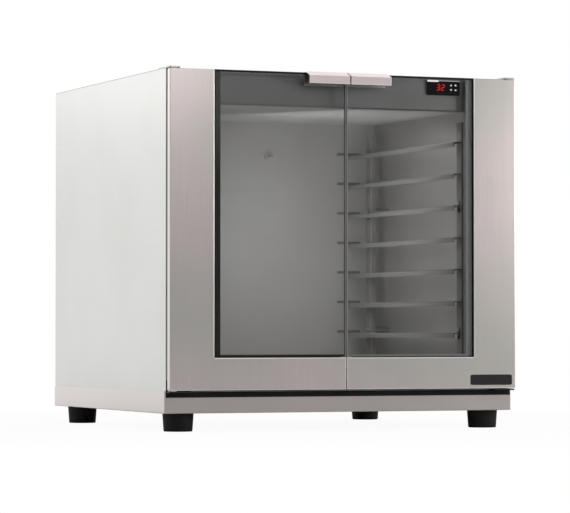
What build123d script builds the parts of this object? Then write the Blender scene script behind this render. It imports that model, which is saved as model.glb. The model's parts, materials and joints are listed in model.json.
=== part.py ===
from build123d import *
import os
from math import cos, hypot, radians, sin, tan

# Glass-door dough proofer: a stainless cabinet with a heated, humid cavity for eight
# 600 x 400 mm trays, closed by two tinted glass doors that swing on corner pins.
#
# Frame: millimetres, +Z up, floor at Z = 0, +X to the right of a person who faces the
# doors, -Y towards that person. The origin is on the floor under the middle of the
# proofer's outer box.

# ---------------------------------------------------------------- driving dimensions
# Outer body
body_width = 760.0
body_depth = 707.0
body_height = 721.4            # floor to the top panel
outer_sheet = 1.2
bend_radius = 1.2              # inside radius of every fold
fit_gap = 0.2                  # between sheet edges that lie side by side

# Feet
foot_height = 36.5
foot_top_radius = 31.3
foot_bottom_radius = 28.75
foot_edge_radius = 2.0
foot_side_inset = 43.5         # foot axis in from the body's side
foot_front_inset = 47.0
foot_rear_inset = 59.0
foot_recess_radius = 11.0
foot_web = 12.0                # rubber left above the screw recess
foot_screw_radius = 4.0
foot_screw_head_radius = 7.5
foot_screw_head_height = 5.5
foot_screw_rise = 12.0         # thread above the base tray's floor

# Base tray
base_sheet = 1.5
base_height = 43.5
base_setback = 3.0             # its front wall stands behind the cabinet's front
base_corner_radius = 3.0
base_slot_length = 60.0
base_slot_width = 6.0
base_slot_pitch = 90.0
base_slot_count = 5
base_slot_row = 150.0          # slot rows in front of and behind the middle

# Side panels: the rear edge is folded into a channel that carries the back panel
rear_post_width = 14.0
rear_recess = 25.0             # back panel's face in front of the body's rear
rear_seat_width = 14.0
top_flange_width = 20.0

# Top panel
top_rear_lip = 14.0

# Back panel
back_screw_count = 4           # on each side
back_screw_end_margin = 40.0
back_screw_radius = 2.0
back_screw_head_radius = 4.0
back_screw_head_height = 2.2
back_screw_length = 6.0
vent_slot_length = 34.0
vent_slot_width = 4.0
vent_slot_pitch = 12.0
vent_slot_count = 14
vent_slot_below_top = 33.0     # slot middles below the body's top

# Cable gland
gland_side_space = 80.0        # its axis in from the body's left side
gland_rise = 36.0              # above the base tray's rim
gland_thread_radius = 10.0
gland_bore_radius = 4.5
gland_hex_radius = 13.0
gland_collar = 6.0
gland_dome_length = 14.0
gland_thread_length = 10.0
gland_nut_thickness = 5.0
gland_tip_land = 1.0           # flat ring left round the mouth

# Front frame round the cavity's mouth
fascia_drop = 69.9             # its lower edge below the body's top
frame_depth = 20.0
frame_flange = 18.0
frame_lip = 8.0
mouth_side_step = 5.0          # jambs stand this far in from the cavity's sides
sill_rise = 4.0                # sill above the cavity's floor
sill_clear_base = 1.0

# Cavity
cavity_side_space = 25.0       # cavity's wall to the body's side
cavity_floor_space = 18.0      # cavity's floor above the base tray's rim
cavity_ceiling_space = 56.4    # cavity's ceiling below the body's top
cavity_back_space = 67.0       # cavity's back wall to the body's rear
liner_sheet = 1.0
liner_flange = 12.0
insulation_gap = 0.3
top_insulation = 17.0
floor_insulation = 32.0
back_insulation_rise = 52.0    # its lower edge above the cavity's floor

# Tray racks
tray_levels = 8
top_level_space = 71.5         # top runner below the cavity's ceiling
bottom_level_space = 31.4      # lowest runner above the cavity's floor
rack_standoff = 49.0           # rack's plane in from the cavity's wall
runner_width = 28.0
runner_sheet = 1.5
runner_lip = 9.0
runner_front = 60.0            # behind the cabinet's front
runner_rear_space = 32.0       # in front of the cavity's back wall
stop_reach = 27.0
stop_height = 6.0
stop_corner_radius = 2.0
upright_sheet = 1.5
upright_width = 26.0
upright_flange = 12.0
upright_front = 93.0           # its middle behind the cabinet's front
upright_rear_space = 80.0      # rear one's middle in front of the cavity's back wall
upright_floor_space = 14.0
upright_ceiling_space = 29.0
peg_levels = (2, 6)            # counted down from the top level
peg_head_gap = 0.7             # peg head above the runner's tray face
peg_spacer_radius = 7.0
peg_neck_radius = 3.0
peg_head_radius = 5.5
peg_head_length = 3.2
peg_slot_clearance = 0.2
peg_entry_clearance = 0.4
peg_entry_drop = 14.0

# Humidity well in the cavity's floor, with the heating element and the water pan
well_length = 268.0            # across the cavity
well_width = 352.0
well_depth = 44.0
well_rear_space = 48.0         # in front of the cavity's back wall
well_corner_radius = 24.0
well_floor_radius = 6.0
well_flange = 12.0
element_tube_radius = 4.0
element_rise = 14.0            # tube's axis above the well's floor
element_pitch = 50.0           # between neighbouring legs
element_bend_radius = 24.5
element_front_gap = 30.0       # bends behind the well's front wall
element_rear_gap = 36.0        # middle bend in front of the well's rear wall
element_tail = 18.0            # terminals behind the well's rear wall
element_plate_height = 14.0
element_plate_margin = 14.0
element_plate_sheet = 2.0
element_plate_corner_radius = 3.5
element_hole_clearance = 0.5
pan_depth = 22.0
pan_sheet = 0.8
pan_clearance = 6.0            # pan's walls inside the well's walls
pan_rim_overlap = 8.0          # rim on the cavity's floor round the well
pan_floor_radius = 5.0

# Temperature probe on the back wall
probe_side = 93.0
probe_drop = 75.5              # below the cavity's ceiling
probe_radius = 2.5
probe_tip_radius = 2.0
probe_length = 42.0
probe_collar_radius = 6.0
probe_collar_length = 7.0
probe_collar_chamfer = 1.0
probe_tail = 14.0

# Controller in the fascia
controller_window_space = 60.0  # its middle in from the side of the door's window
controller_drop = 21.8         # its middle below the body's top
bezel_length = 74.0
bezel_height = 32.0
bezel_thickness = 4.6
bezel_corner_radius = 2.5
bezel_edge_radius = 0.8
housing_length = 70.0
housing_height = 28.4
housing_depth = 56.0
housing_corner_radius = 1.5
housing_step = 4.0             # connector step at the housing's back
cutout_gap = 0.3
window_length = 41.0
window_height = 19.0
window_thickness = 1.2
window_side = -12.5            # window's middle from the controller's middle
window_corner_radius = 1.2
button_length = 5.4
button_height = 4.4
button_corner_radius = 1.0
button_proud = 0.8
button_edge_radius = 0.25
button_travel = 0.6
button_skirt = 0.7
button_skirt_thickness = 1.0
button_gap = 0.15
button_side = 21.6             # middle of the button group from the controller's middle
button_pitch_across = 10.2
button_pitch_up = 9.8
button_drop = 0.1

# Doors
door_gap = 2.0                 # rear of a door to the cabinet's front
door_thickness = 20.0
door_side_inset = 0.5
door_sheet = 1.2
door_edge_radius = 1.6
door_corner_radius = 2.0
door_heel_radius = 8.0
door_bottom_gap = 2.1          # above the base tray's rim
seam_gap = 1.7
stile_width = 94.5
rail_height = 64.7
door_rear_flange = 15.0
ledge_side = 15.0              # rebate under the glass, beside the stile
ledge_bottom = 6.0
inner_panel_sheet = 1.0
glass_thickness = 6.0
glass_recess = 1.0
seal_width = 1.7
seal_recess = 0.6              # seal's face behind the door's face

# Hinges
pivot_side_inset = 10.0        # pin axis in from the body's side
pivot_front_inset = 9.0        # pin axis behind the door's face
pin_radius = 4.0
pin_clearance = 0.05
pin_length = 16.0
pin_tip = 1.0
bush_radius = 6.0
bush_length = 15.0
bush_flange_radius = 8.8
bush_top_flange = 0.8
bush_bottom_flange = 1.2
hinge_running_gap = 0.3
top_plate_width = 24.0
top_plate_thickness = 3.0
top_plate_reach = 46.0         # over the top panel, behind the cabinet's front
bottom_plate_width = 48.0
bottom_plate_side_gap = 1.6    # its outer end in from the body's side
bottom_plate_thickness = 2.6
bottom_plate_drop = 20.0
plate_front_inset = 1.0        # plates end behind the door's face
plate_corner_radius = 3.0
hinge_screw_radius = 2.5
hinge_screw_head_radius = 4.6
hinge_screw_head_height = 2.4
hinge_screw_length = 11.0
hinge_screw_first = 14.0
hinge_screw_pitch = 20.0
hinge_nut_radius = 4.6
hinge_nut_thickness = 4.0
hinge_stud_tip = 1.5           # thread that shows behind the nut

# Handles: folded tabs over the glass's top edge
handle_length = 88.5
handle_end_gap = 1.3           # from the middle of the proofer
handle_sheet = 1.5
handle_reach = 44.0            # lip's face in front of the cabinet's front
handle_slope_drop = 8.4        # lip's upper edge below the handle's top
handle_lip_height = 17.0
handle_hem = 5.0
handle_back_drop = 28.0
handle_knee_gap = 1.0
handle_bend_radius = 0.8
handle_bolt_radius = 2.0
handle_bolt_head_radius = 4.0
handle_bolt_head_height = 2.4
handle_bolt_below_top = 15.0
handle_bolt_end_inset = 12.0
handle_nut_thickness = 2.5
handle_nut_radius = 4.0
bolt_hole_gap = 0.3

# Magnetic catches
catch_length = 44.0
catch_height = 12.0
catch_gap = 0.3                # magnet to the handle's back plate
catch_edge_radius = 1.0

# Cavity seal on the front frame
cavity_seal_width = 9.0
cavity_seal_thickness = 1.6
cavity_seal_edge_gap = 2.0

# ---------------------------------------------------------------- derived places
front = handle_reach - (handle_reach + body_depth) / 2   # cabinet's front plane
rear = front + body_depth
side = body_width / 2
base_top = foot_height + base_height
base_floor = foot_height + base_sheet
under_top = body_height - outer_sheet
back_face = rear - rear_recess
fascia_bottom = body_height - fascia_drop
gland_height = base_top + gland_rise
gland_x = gland_side_space - side
controller_height = body_height - controller_drop

cavity_half_width = side - cavity_side_space
cavity_floor = base_top + cavity_floor_space
cavity_ceiling = body_height - cavity_ceiling_space
cavity_front = front + frame_depth
cavity_rear = rear - cavity_back_space
back_insulation_bottom = cavity_floor + back_insulation_rise
probe_height = cavity_ceiling - probe_drop
sill_top = cavity_floor + sill_rise
mouth_half_width = cavity_half_width - mouth_side_step
web_inside = side - outer_sheet

door_outer = side - door_side_inset
door_seam = seam_gap / 2
door_bottom = base_top + door_bottom_gap
door_top = under_top - hinge_running_gap - bush_top_flange
door_rear = front - door_gap
door_face = door_rear - door_thickness
glass_rear = door_face + glass_recess + glass_thickness
glass_face = door_face + glass_recess
ledge_rear = glass_rear + door_sheet
window_side_x = door_outer - stile_width
window_bottom_z = door_bottom + rail_height
controller_side = window_side_x - controller_window_space

pivot_x = side - pivot_side_inset
pivot_y = door_face + pivot_front_inset
bottom_plate_top = door_bottom - bush_bottom_flange - hinge_running_gap
bottom_plate_seat = front + base_setback + base_sheet
bottom_plate_ends = (side - bottom_plate_width, side - bottom_plate_side_gap)

fold_outside = bend_radius + outer_sheet
beyond = 5.0                   # how far a cutting tool runs past the face it opens
rack_plane = cavity_half_width - rack_standoff
runner_lip_inset = rack_plane - runner_width
runner_start = front + runner_front
runner_end = cavity_rear - runner_rear_space
upright_rows = (front + upright_front, cavity_rear - upright_rear_space)
top_level = cavity_ceiling - top_level_space
level_pitch = (top_level - cavity_floor - bottom_level_space) / (tray_levels - 1)
levels = [top_level - level_pitch * step for step in range(tray_levels)]

well_floor = cavity_floor - well_depth
well_rear = cavity_rear - well_rear_space
well_front = well_rear - well_width
element_height = well_floor + element_rise


# ---------------------------------------------------------------- shape helpers
def prism_x(section, x0, x1):
    """A section drawn in Y and Z, carried along X."""
    return extrude(Plane.YZ.offset(x0) * section, amount=x1 - x0)


def prism_y(section, y0, y1):
    """A section drawn in X and Z, carried along Y."""
    return extrude(Plane.XZ.offset(-y0) * section, amount=y0 - y1)


def prism_z(section, z0, z1):
    """A section drawn in X and Y, carried along Z."""
    return extrude(Plane.XY.offset(z0) * section, amount=z1 - z0)


def block(x0, x1, y0, y1, z0, z1):
    """A rectangular block between two corners."""
    centre = ((x0 + x1) / 2, (y0 + y1) / 2, (z0 + z1) / 2)
    return Pos(*centre) * Box(abs(x1 - x0), abs(y1 - y0), abs(z1 - z0))


def plate_outline(a0, a1, b0, b1, corner=0.0):
    """A rectangle in the drawing plane, with rounded corners if asked."""
    place = Pos((a0 + a1) / 2, (b0 + b1) / 2)
    if corner > 0:
        return place * RectangleRounded(a1 - a0, b1 - b0, corner)
    return place * Rectangle(a1 - a0, b1 - b0)


def rod_x(x0, x1, y, z, radius):
    """A round bar along X."""
    return Pos((x0 + x1) / 2, y, z) * Rot(0, 90, 0) * Cylinder(radius, abs(x1 - x0))


def rod_y(y0, y1, x, z, radius):
    """A round bar along Y."""
    return Pos(x, (y0 + y1) / 2, z) * Rot(90, 0, 0) * Cylinder(radius, abs(y1 - y0))


def rod_z(z0, z1, x, y, radius):
    """A round bar along Z."""
    return Pos(x, y, (z0 + z1) / 2) * Cylinder(radius, abs(z1 - z0))


def other_side(shape):
    """The same piece on the other side of the proofer's middle plane."""
    return mirror(shape, about=Plane.YZ)


def bent_section(points, sheet, radius):
    """Section of a folded sheet: its skin runs through the points and its
    thickness lies to the left of the walk. Each fold has the inside radius."""
    ways = []
    for (a0, b0), (a1, b1) in zip(points, points[1:]):
        run = hypot(a1 - a0, b1 - b0)
        ways.append(((a1 - a0) / run, (b1 - b0) / run))
    inner = [(points[0][0] - ways[0][1] * sheet, points[0][1] + ways[0][0] * sheet)]
    skin_radii, inner_radii = [], []
    for (a, b), (ua, ub), (va, vb) in zip(points[1:-1], ways, ways[1:]):
        share = sheet / (1 + ua * va + ub * vb)
        inner.append((a - (ub + vb) * share, b + (ua + va) * share))
        turns_left = ua * vb - ub * va > 0
        skin_radii.append(radius + sheet if turns_left else radius)
        inner_radii.append(radius if turns_left else radius + sheet)
    last_a, last_b = points[-1]
    inner.append((last_a - ways[-1][1] * sheet, last_b + ways[-1][0] * sheet))
    skin = FilletPolyline(*points, radius=skin_radii)
    back = FilletPolyline(*inner, radius=inner_radii)
    ends = [Line(points[0], inner[0]), Line(points[-1], inner[-1])]
    return make_face([*skin.edges(), *back.edges(), *ends])


def edges_along(shape, axis, **limits):
    """Straight edges along an axis whose middles lie in the given x, y, z limits."""
    found = []
    for edge in shape.edges().filter_by(axis):
        middle = edge.center()
        here = {"x": middle.X, "y": middle.Y, "z": middle.Z}
        if all(low <= here[name] <= high for name, (low, high) in limits.items()):
            found.append(edge)
    return found


def near(value, reach=0.05):
    """Limits that hold one place."""
    return (value - reach, value + reach)


def slot_outline(centre_a, centre_b, length, width, turned=False):
    """A round-ended slot; turned, it is long the second way."""
    shape = SlotOverall(length, width)
    return Pos(centre_a, centre_b) * (Rot(0, 0, 90) * shape if turned else shape)


def screw_down_y(x, y, z, radius, head_radius, head_height, length, way):
    """A round-head screw along Y whose head sits on the plane y and whose
    thread runs the given way."""
    head = rod_y(y, y - way * head_height, x, z, head_radius)
    rim = head.edges().filter_by(GeomType.CIRCLE).sort_by(Axis.Y)
    head = fillet(rim[0] if way > 0 else rim[-1], head_height / 2)
    return head + rod_y(y, y + way * length, x, z, radius)


# ---------------------------------------------------------------- base and feet
def foot_places():
    """Axes of the four feet, by name."""
    across = side - foot_side_inset
    ahead = front + foot_front_inset
    behind = rear - foot_rear_inset
    return {
        "foot_front_left": (-across, ahead),
        "foot_front_right": (across, ahead),
        "foot_rear_left": (-across, behind),
        "foot_rear_right": (across, behind),
    }


def foot(x, y):
    """Tapered rubber foot, recessed from below for its screw."""
    outline = Polyline(
        (foot_screw_radius, foot_height), (foot_top_radius, foot_height),
        (foot_bottom_radius, 0), (foot_recess_radius, 0),
        (foot_recess_radius, foot_height - foot_web),
        (foot_screw_radius, foot_height - foot_web), close=True)
    body = revolve(Plane.XZ * make_face(outline), axis=Axis.Z)
    rims = [edge for edge in body.edges().filter_by(GeomType.CIRCLE)
            if edge.radius > foot_recess_radius + foot_edge_radius]
    return Pos(x, y, 0) * fillet(rims, foot_edge_radius)


def foot_screw(x, y):
    """Hexagon screw that holds a foot to the base tray."""
    seat = foot_height - foot_web
    hexagon = RegularPolygon(foot_screw_head_radius, 6)
    head = prism_z(hexagon, seat - foot_screw_head_height, seat)
    shank = rod_z(seat, base_floor + foot_screw_rise, 0, 0, foot_screw_radius)
    nut = prism_z(hexagon, base_floor, base_floor + foot_screw_head_height)
    return Pos(x, y, 0) * (head + shank + nut)


def base_tray():
    """Open steel tray that the side panels stand in, notched for the hinge brackets."""
    half = side + base_sheet
    outline = plate_outline(-half, half, front + base_setback, rear, base_corner_radius)
    tray = prism_z(outline, foot_height, base_top)
    tray = fillet(tray.faces().sort_by(Axis.Z)[0].edges(), base_sheet)
    inside = plate_outline(-side, side, front + base_setback + base_sheet,
                           rear - base_sheet, base_corner_radius - base_sheet)
    tray -= prism_z(inside, base_floor, base_top + beyond)
    notch_floor = bottom_plate_top - bottom_plate_thickness - bend_radius - fit_gap
    inner, outer = bottom_plate_ends
    notch = block(inner - fit_gap, outer + fit_gap, front, bottom_plate_seat, notch_floor,
                  base_top + beyond)
    tray -= notch
    tray -= other_side(notch)
    for x, y in foot_places().values():
        tray -= rod_z(0, base_top, x, y, foot_screw_radius)
    middle = (front + rear) / 2
    for row in (-base_slot_row, base_slot_row):
        for step in range(base_slot_count):
            x = (step - (base_slot_count - 1) / 2) * base_slot_pitch
            slot = slot_outline(x, middle + row, base_slot_length, base_slot_width)
            tray -= prism_z(slot, foot_height - beyond, base_floor + beyond)
    return tray


# ---------------------------------------------------------------- outer panels
def side_panel():
    """Right side panel: web, top flange, and a rear edge folded into a post
    with an inner flange that carries the back panel."""
    post = side - rear_post_width
    walk = [(side, front), (side, rear), (post, rear), (post, back_face),
            (post - rear_seat_width, back_face)]
    panel = prism_z(bent_section(walk, outer_sheet, bend_radius), base_floor, under_top)
    flange = prism_z(plate_outline(side - top_flange_width, side, front,
                                   rear - fold_outside), under_top - outer_sheet, under_top)
    panel = panel + flange
    panel = fillet(edges_along(panel, Axis.Y, x=near(side), z=near(under_top)),
                   outer_sheet / 2)
    step_top = base_top + sill_clear_base
    panel -= block(post - beyond, side + beyond, front - beyond,
                   front + base_setback + base_corner_radius, base_floor - beyond, step_top)
    panel -= block(post - rear_seat_width - beyond, side + beyond,
                   rear - base_corner_radius, rear + beyond, base_floor - beyond, step_top)
    for y in hinge_screw_rows():
        panel -= rod_z(under_top - beyond, under_top + beyond, pivot_x, y,
                       hinge_screw_radius)
    for z in back_screw_heights():
        panel -= rod_y(back_face - beyond, back_face + beyond, back_screw_x(), z,
                       back_screw_radius)
    return panel


def hinge_screw_rows():
    """Places of a top hinge plate's screws behind the cabinet's front."""
    return [front + hinge_screw_first + step * hinge_screw_pitch for step in range(2)]


def top_plate_outline(grow=0.0):
    """Plan of the right top hinge plate, grown for its notch in the top panel."""
    return plate_outline(side - top_plate_width - grow, side + grow,
                         door_face + plate_front_inset - grow,
                         front + top_plate_reach + grow, plate_corner_radius + grow)


def top_panel():
    """Flat lid with a rear lip, notched at the front corners for the hinge plates."""
    outline = plate_outline(-side, side, front, rear, fold_outside)
    lid = prism_z(outline, under_top, body_height)
    reach = side - rear_post_width - fit_gap
    lid += block(-reach, reach, rear - outer_sheet, rear,
                 body_height - top_rear_lip, body_height)
    rim = edges_along(lid, Axis.X, y=near(rear), z=near(body_height))
    lid = fillet(rim, outer_sheet / 2)
    notch = prism_z(top_plate_outline(fit_gap), under_top - beyond, body_height + beyond)
    return lid - notch - other_side(notch)


def back_screw_x():
    """Screws stand in the middle of the side panel's rear seat."""
    return side - rear_post_width - rear_seat_width / 2


def back_panel_reach():
    """Half width of the back panel, clear of the folds beside its seats."""
    return side - rear_post_width - bend_radius - fit_gap


def back_panel_span():
    """Lower and upper edge of the back panel."""
    return base_top + fit_gap, body_height - top_rear_lip - fit_gap


def back_screw_heights():
    """Heights of the screws along one edge of the back panel."""
    low, high = back_panel_span()
    first, last = low + back_screw_end_margin, high - back_screw_end_margin
    pitch = (last - first) / (back_screw_count - 1)
    return [first + pitch * step for step in range(back_screw_count)]


def back_panel():
    """Rear cover, screwed into the recess between the rear posts."""
    low, high = back_panel_span()
    reach = back_panel_reach()
    panel = prism_y(plate_outline(-reach, reach, low, high, bend_radius),
                    back_face, back_face + outer_sheet)
    for step in range(vent_slot_count):
        x = (step - (vent_slot_count - 1) / 2) * vent_slot_pitch
        slot = slot_outline(x, body_height - vent_slot_below_top, vent_slot_length,
                            vent_slot_width, turned=True)
        panel -= prism_y(slot, back_face - beyond, back_face + beyond)
    panel -= rod_y(back_face - beyond, back_face + beyond, gland_x, gland_height,
                   gland_thread_radius)
    for z in back_screw_heights():
        for x in (-back_screw_x(), back_screw_x()):
            panel -= rod_y(back_face - beyond, back_face + beyond, x, z,
                           back_screw_radius)
    return panel


def back_screws():
    """Round-head screws of the back panel."""
    seat = back_face + outer_sheet
    return [screw_down_y(x, seat, z, back_screw_radius, back_screw_head_radius,
                         back_screw_head_height, back_screw_length, -1)
            for x in (-back_screw_x(), back_screw_x()) for z in back_screw_heights()]


def cable_gland():
    """Cable gland: hexagon collar and dome outside, lock nut inside."""
    seat = back_face + outer_sheet
    hexagon = RegularPolygon(gland_hex_radius, 6)
    collar = prism_y(hexagon, seat, seat + gland_collar)
    dome = rod_y(seat + gland_collar, seat + gland_dome_length, 0, 0, gland_thread_radius)
    tip = dome.edges().filter_by(GeomType.CIRCLE).sort_by(Axis.Y)[-1]
    dome = fillet(tip, gland_thread_radius - gland_bore_radius - gland_tip_land)
    thread = rod_y(back_face - gland_thread_length, seat, 0, 0, gland_thread_radius)
    nut = prism_y(hexagon, back_face - gland_nut_thickness, back_face)
    body = collar + dome + thread + nut
    body -= rod_y(back_face - gland_thread_length - beyond,
                  seat + gland_dome_length + beyond, 0, 0, gland_bore_radius)
    return Pos(gland_x, 0, gland_height) * body


# ---------------------------------------------------------------- front frame
def controller_cutout(grow):
    """Rectangle of the controller's housing, grown for its hole in the fascia."""
    half_x, half_z = housing_length / 2 + grow, housing_height / 2 + grow
    return plate_outline(controller_side - half_x, controller_side + half_x,
                         controller_height - half_z, controller_height + half_z)


def front_fascia():
    """Folded panel above the cavity's mouth, cut out for the controller."""
    walk = [(front + frame_flange, under_top), (front, under_top),
            (front, fascia_bottom), (cavity_front, fascia_bottom),
            (cavity_front, cavity_ceiling + frame_lip)]
    reach = web_inside - fit_gap
    panel = prism_x(bent_section(walk, outer_sheet, bend_radius), -reach, reach)
    for way in (-1, 1):
        inner = way * (side - top_flange_width - fit_gap)
        panel -= block(inner, way * (reach + beyond), front - beyond,
                       front + frame_flange + beyond,
                       under_top - fold_outside, under_top + beyond)
    panel -= prism_y(controller_cutout(cutout_gap), front - beyond, front + beyond)
    return panel


def front_jamb():
    """Right jamb of the cavity's mouth."""
    outer = web_inside - fit_gap
    walk = [(outer, front + frame_flange), (outer, front), (mouth_half_width, front),
            (mouth_half_width, cavity_front), (cavity_half_width + frame_lip, cavity_front)]
    walk.reverse()
    section = bent_section(walk, outer_sheet, bend_radius)
    return prism_z(section, sill_top + fit_gap, fascia_bottom - fit_gap)


def front_sill():
    """Folded sill under the cavity's mouth."""
    low = base_top + sill_clear_base
    walk = [(cavity_front, cavity_floor - frame_lip), (cavity_front, sill_top),
            (front, sill_top), (front, low), (front + frame_flange, low)]
    reach = web_inside - fit_gap
    return prism_x(bent_section(walk, outer_sheet, bend_radius), -reach, reach)


def cavity_seal():
    """Flat rubber strip on the jambs and the sill that the doors close on."""
    outer = mouth_half_width + cavity_seal_edge_gap + cavity_seal_width
    inner = mouth_half_width + cavity_seal_edge_gap
    low = sill_top - cavity_seal_edge_gap - cavity_seal_width
    ring = plate_outline(-outer, outer, low, fascia_bottom - cavity_seal_edge_gap,
                         bend_radius)
    ring -= plate_outline(-inner, inner, low + cavity_seal_width, body_height)
    return prism_y(ring, front - cavity_seal_thickness, front)


# ---------------------------------------------------------------- cavity
def cavity_side():
    """Right wall of the cavity, with flanges turned into the insulation."""
    wall = block(cavity_half_width, cavity_half_width + liner_flange,
                 cavity_front, cavity_rear + liner_sheet,
                 cavity_floor - liner_sheet, cavity_ceiling + liner_sheet)
    wall -= block(cavity_half_width + liner_sheet, side, cavity_front + liner_sheet,
                  cavity_rear, cavity_floor, cavity_ceiling)
    return wall


def cavity_ceiling_panel():
    """Ceiling of the cavity, with flanges turned up."""
    reach = cavity_half_width
    panel = block(-reach, reach, cavity_front + outer_sheet + fit_gap, cavity_rear,
                  cavity_ceiling, cavity_ceiling + liner_flange)
    return panel - block(-reach + liner_sheet, reach - liner_sheet,
                         cavity_front + outer_sheet + fit_gap + liner_sheet,
                         cavity_rear - liner_sheet,
                         cavity_ceiling + liner_sheet, body_height)


def cavity_floor_panel():
    """Floor of the cavity, open over the well, with flanges turned down."""
    reach = cavity_half_width
    panel = block(-reach, reach, cavity_front, cavity_rear,
                  cavity_floor - liner_flange, cavity_floor)
    panel -= block(-reach + liner_sheet, reach - liner_sheet,
                   cavity_front + liner_sheet, cavity_rear - liner_sheet,
                   0, cavity_floor - liner_sheet)
    return panel - prism_z(well_outline(), cavity_floor - beyond, cavity_floor + beyond)


def cavity_back_panel():
    """Back wall of the cavity, pierced for the probe."""
    reach = cavity_half_width
    panel = block(-reach, reach, cavity_rear, cavity_rear + liner_flange,
                  cavity_floor, cavity_ceiling)
    panel -= block(-reach + liner_sheet, reach - liner_sheet, cavity_rear + liner_sheet,
                   rear, cavity_floor + liner_sheet, cavity_ceiling - liner_sheet)
    return panel - rod_y(cavity_rear - beyond, cavity_rear + beyond, probe_side,
                         probe_height, probe_radius)


def insulation():
    """Glass-wool slabs round the cavity: two sides, top, floor and back."""
    gap = insulation_gap
    hollow_x = cavity_half_width - liner_sheet - gap
    side_slab = block(cavity_half_width + liner_sheet + gap, web_inside - gap,
                      cavity_front + liner_sheet + gap, cavity_rear - gap,
                      cavity_floor + gap, cavity_ceiling - gap)
    top_front = cavity_front + outer_sheet + fit_gap + liner_sheet + gap
    top_slab = block(-hollow_x, hollow_x, top_front, cavity_rear - liner_sheet - gap,
                     cavity_ceiling + liner_sheet + gap,
                     cavity_ceiling + liner_sheet + gap + top_insulation)
    floor_slab = block(-hollow_x, hollow_x, cavity_front + liner_sheet + gap,
                       cavity_rear - liner_sheet - gap,
                       cavity_floor - liner_sheet - gap - floor_insulation,
                       cavity_floor - liner_sheet - gap)
    margin = liner_sheet + well_flange + gap
    floor_slab -= block(-well_length / 2 - margin, well_length / 2 + margin,
                        well_front - margin, rear, 0, cavity_floor)
    back_slab = block(-hollow_x, hollow_x, cavity_rear + liner_sheet + gap,
                      back_face - outer_sheet - gap,
                      back_insulation_bottom, cavity_ceiling - liner_sheet - gap)
    back_slab -= rod_y(cavity_rear, cavity_rear + probe_tail + beyond, probe_side,
                       probe_height, probe_radius + gap)
    return [side_slab, other_side(side_slab), top_slab, floor_slab, back_slab]


# ---------------------------------------------------------------- tray racks
def peg_heights():
    """Heights of the pegs that carry a rack."""
    return [levels[index] + peg_head_gap + peg_head_radius for index in peg_levels]


def upright(y):
    """Folded channel of the right rack, with a keyhole for each peg."""
    half = upright_width / 2
    outer = rack_plane + upright_flange
    walk = [(outer, y - half), (rack_plane, y - half), (rack_plane, y + half),
            (outer, y + half)]
    walk.reverse()
    channel = prism_z(bent_section(walk, upright_sheet, upright_sheet),
                      cavity_floor + upright_floor_space,
                      cavity_ceiling - upright_ceiling_space)
    half_slot = peg_neck_radius + peg_slot_clearance
    for z in peg_heights():
        top = z - peg_slot_clearance
        entry = z - peg_entry_drop
        keyhole = Pos(y, entry) * Circle(peg_head_radius + peg_entry_clearance)
        keyhole += plate_outline(y - half_slot, y + half_slot, entry, top)
        keyhole += Pos(y, top) * Circle(half_slot)
        channel -= prism_x(keyhole, rack_plane - beyond, rack_plane + upright_sheet + beyond)
    return channel


def uprights():
    """Both uprights of the right rack."""
    return [upright(y) for y in upright_rows]


def runner(z):
    """Right tray runner: a ledge with a folded inner lip and a rear stop."""
    walk = [(runner_lip_inset, z - runner_lip - runner_sheet), (runner_lip_inset, z),
            (rack_plane, z)]
    walk.reverse()
    ledge = prism_y(bent_section(walk, runner_sheet, runner_sheet), runner_start,
                    runner_end)
    stop = block(runner_lip_inset - stop_reach, rack_plane, runner_end - runner_sheet,
                 runner_end, z, z + stop_height)
    stop = fillet(edges_along(stop, Axis.Y, x=near(runner_lip_inset - stop_reach)),
                  stop_corner_radius)
    return ledge + stop


def peg(y, z):
    """Turned peg on the cavity's right wall: spacer, neck and head."""
    neck_end = rack_plane + upright_sheet + fit_gap
    head_inner = rack_plane - fit_gap
    spacer = rod_x(neck_end, cavity_half_width, y, z, peg_spacer_radius)
    neck = rod_x(head_inner, neck_end, y, z, peg_neck_radius)
    head = rod_x(head_inner - peg_head_length, head_inner, y, z, peg_head_radius)
    rim = head.edges().filter_by(GeomType.CIRCLE).sort_by(Axis.X)[0]
    return spacer + neck + fillet(rim, peg_head_length / 2)


def pegs():
    """All eight pegs."""
    right = [peg(y, z) for y in upright_rows for z in peg_heights()]
    return right + [other_side(one) for one in right]


# ---------------------------------------------------------------- heat and humidity
def element_legs():
    """Places across the cavity of the heating element's four legs."""
    return [(index - 1.5) * element_pitch for index in range(4)]


def heating_element():
    """Tube bent into three U turns, brazed into a plate on the well's rear wall."""
    ahead = well_front + element_front_gap
    turn = well_rear - element_rear_gap
    tail = well_rear + liner_sheet + element_tail
    a, b, c, d = element_legs()
    route = [(a, tail), (a, ahead), (b, ahead), (b, turn), (c, turn), (c, ahead),
             (d, ahead), (d, tail)]
    path = FilletPolyline(*route, radius=element_bend_radius)
    path = Pos(0, 0, element_height) * path
    start = Plane(origin=path @ 0, z_dir=path % 0)
    tube = sweep(start * Circle(element_tube_radius), path=path)
    half_x = d + element_plate_margin
    plate = prism_y(plate_outline(-half_x, half_x,
                                  element_height - element_plate_height / 2,
                                  element_height + element_plate_height / 2,
                                  element_plate_corner_radius),
                    well_rear - element_plate_sheet, well_rear)
    return tube + plate


def well_outline(grow=0.0):
    """Plan of the humidity well's inside, grown or shrunk all round."""
    half = well_length / 2 + grow
    return plate_outline(-half, half, well_front - grow, well_rear + grow,
                         well_corner_radius + grow)


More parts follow.
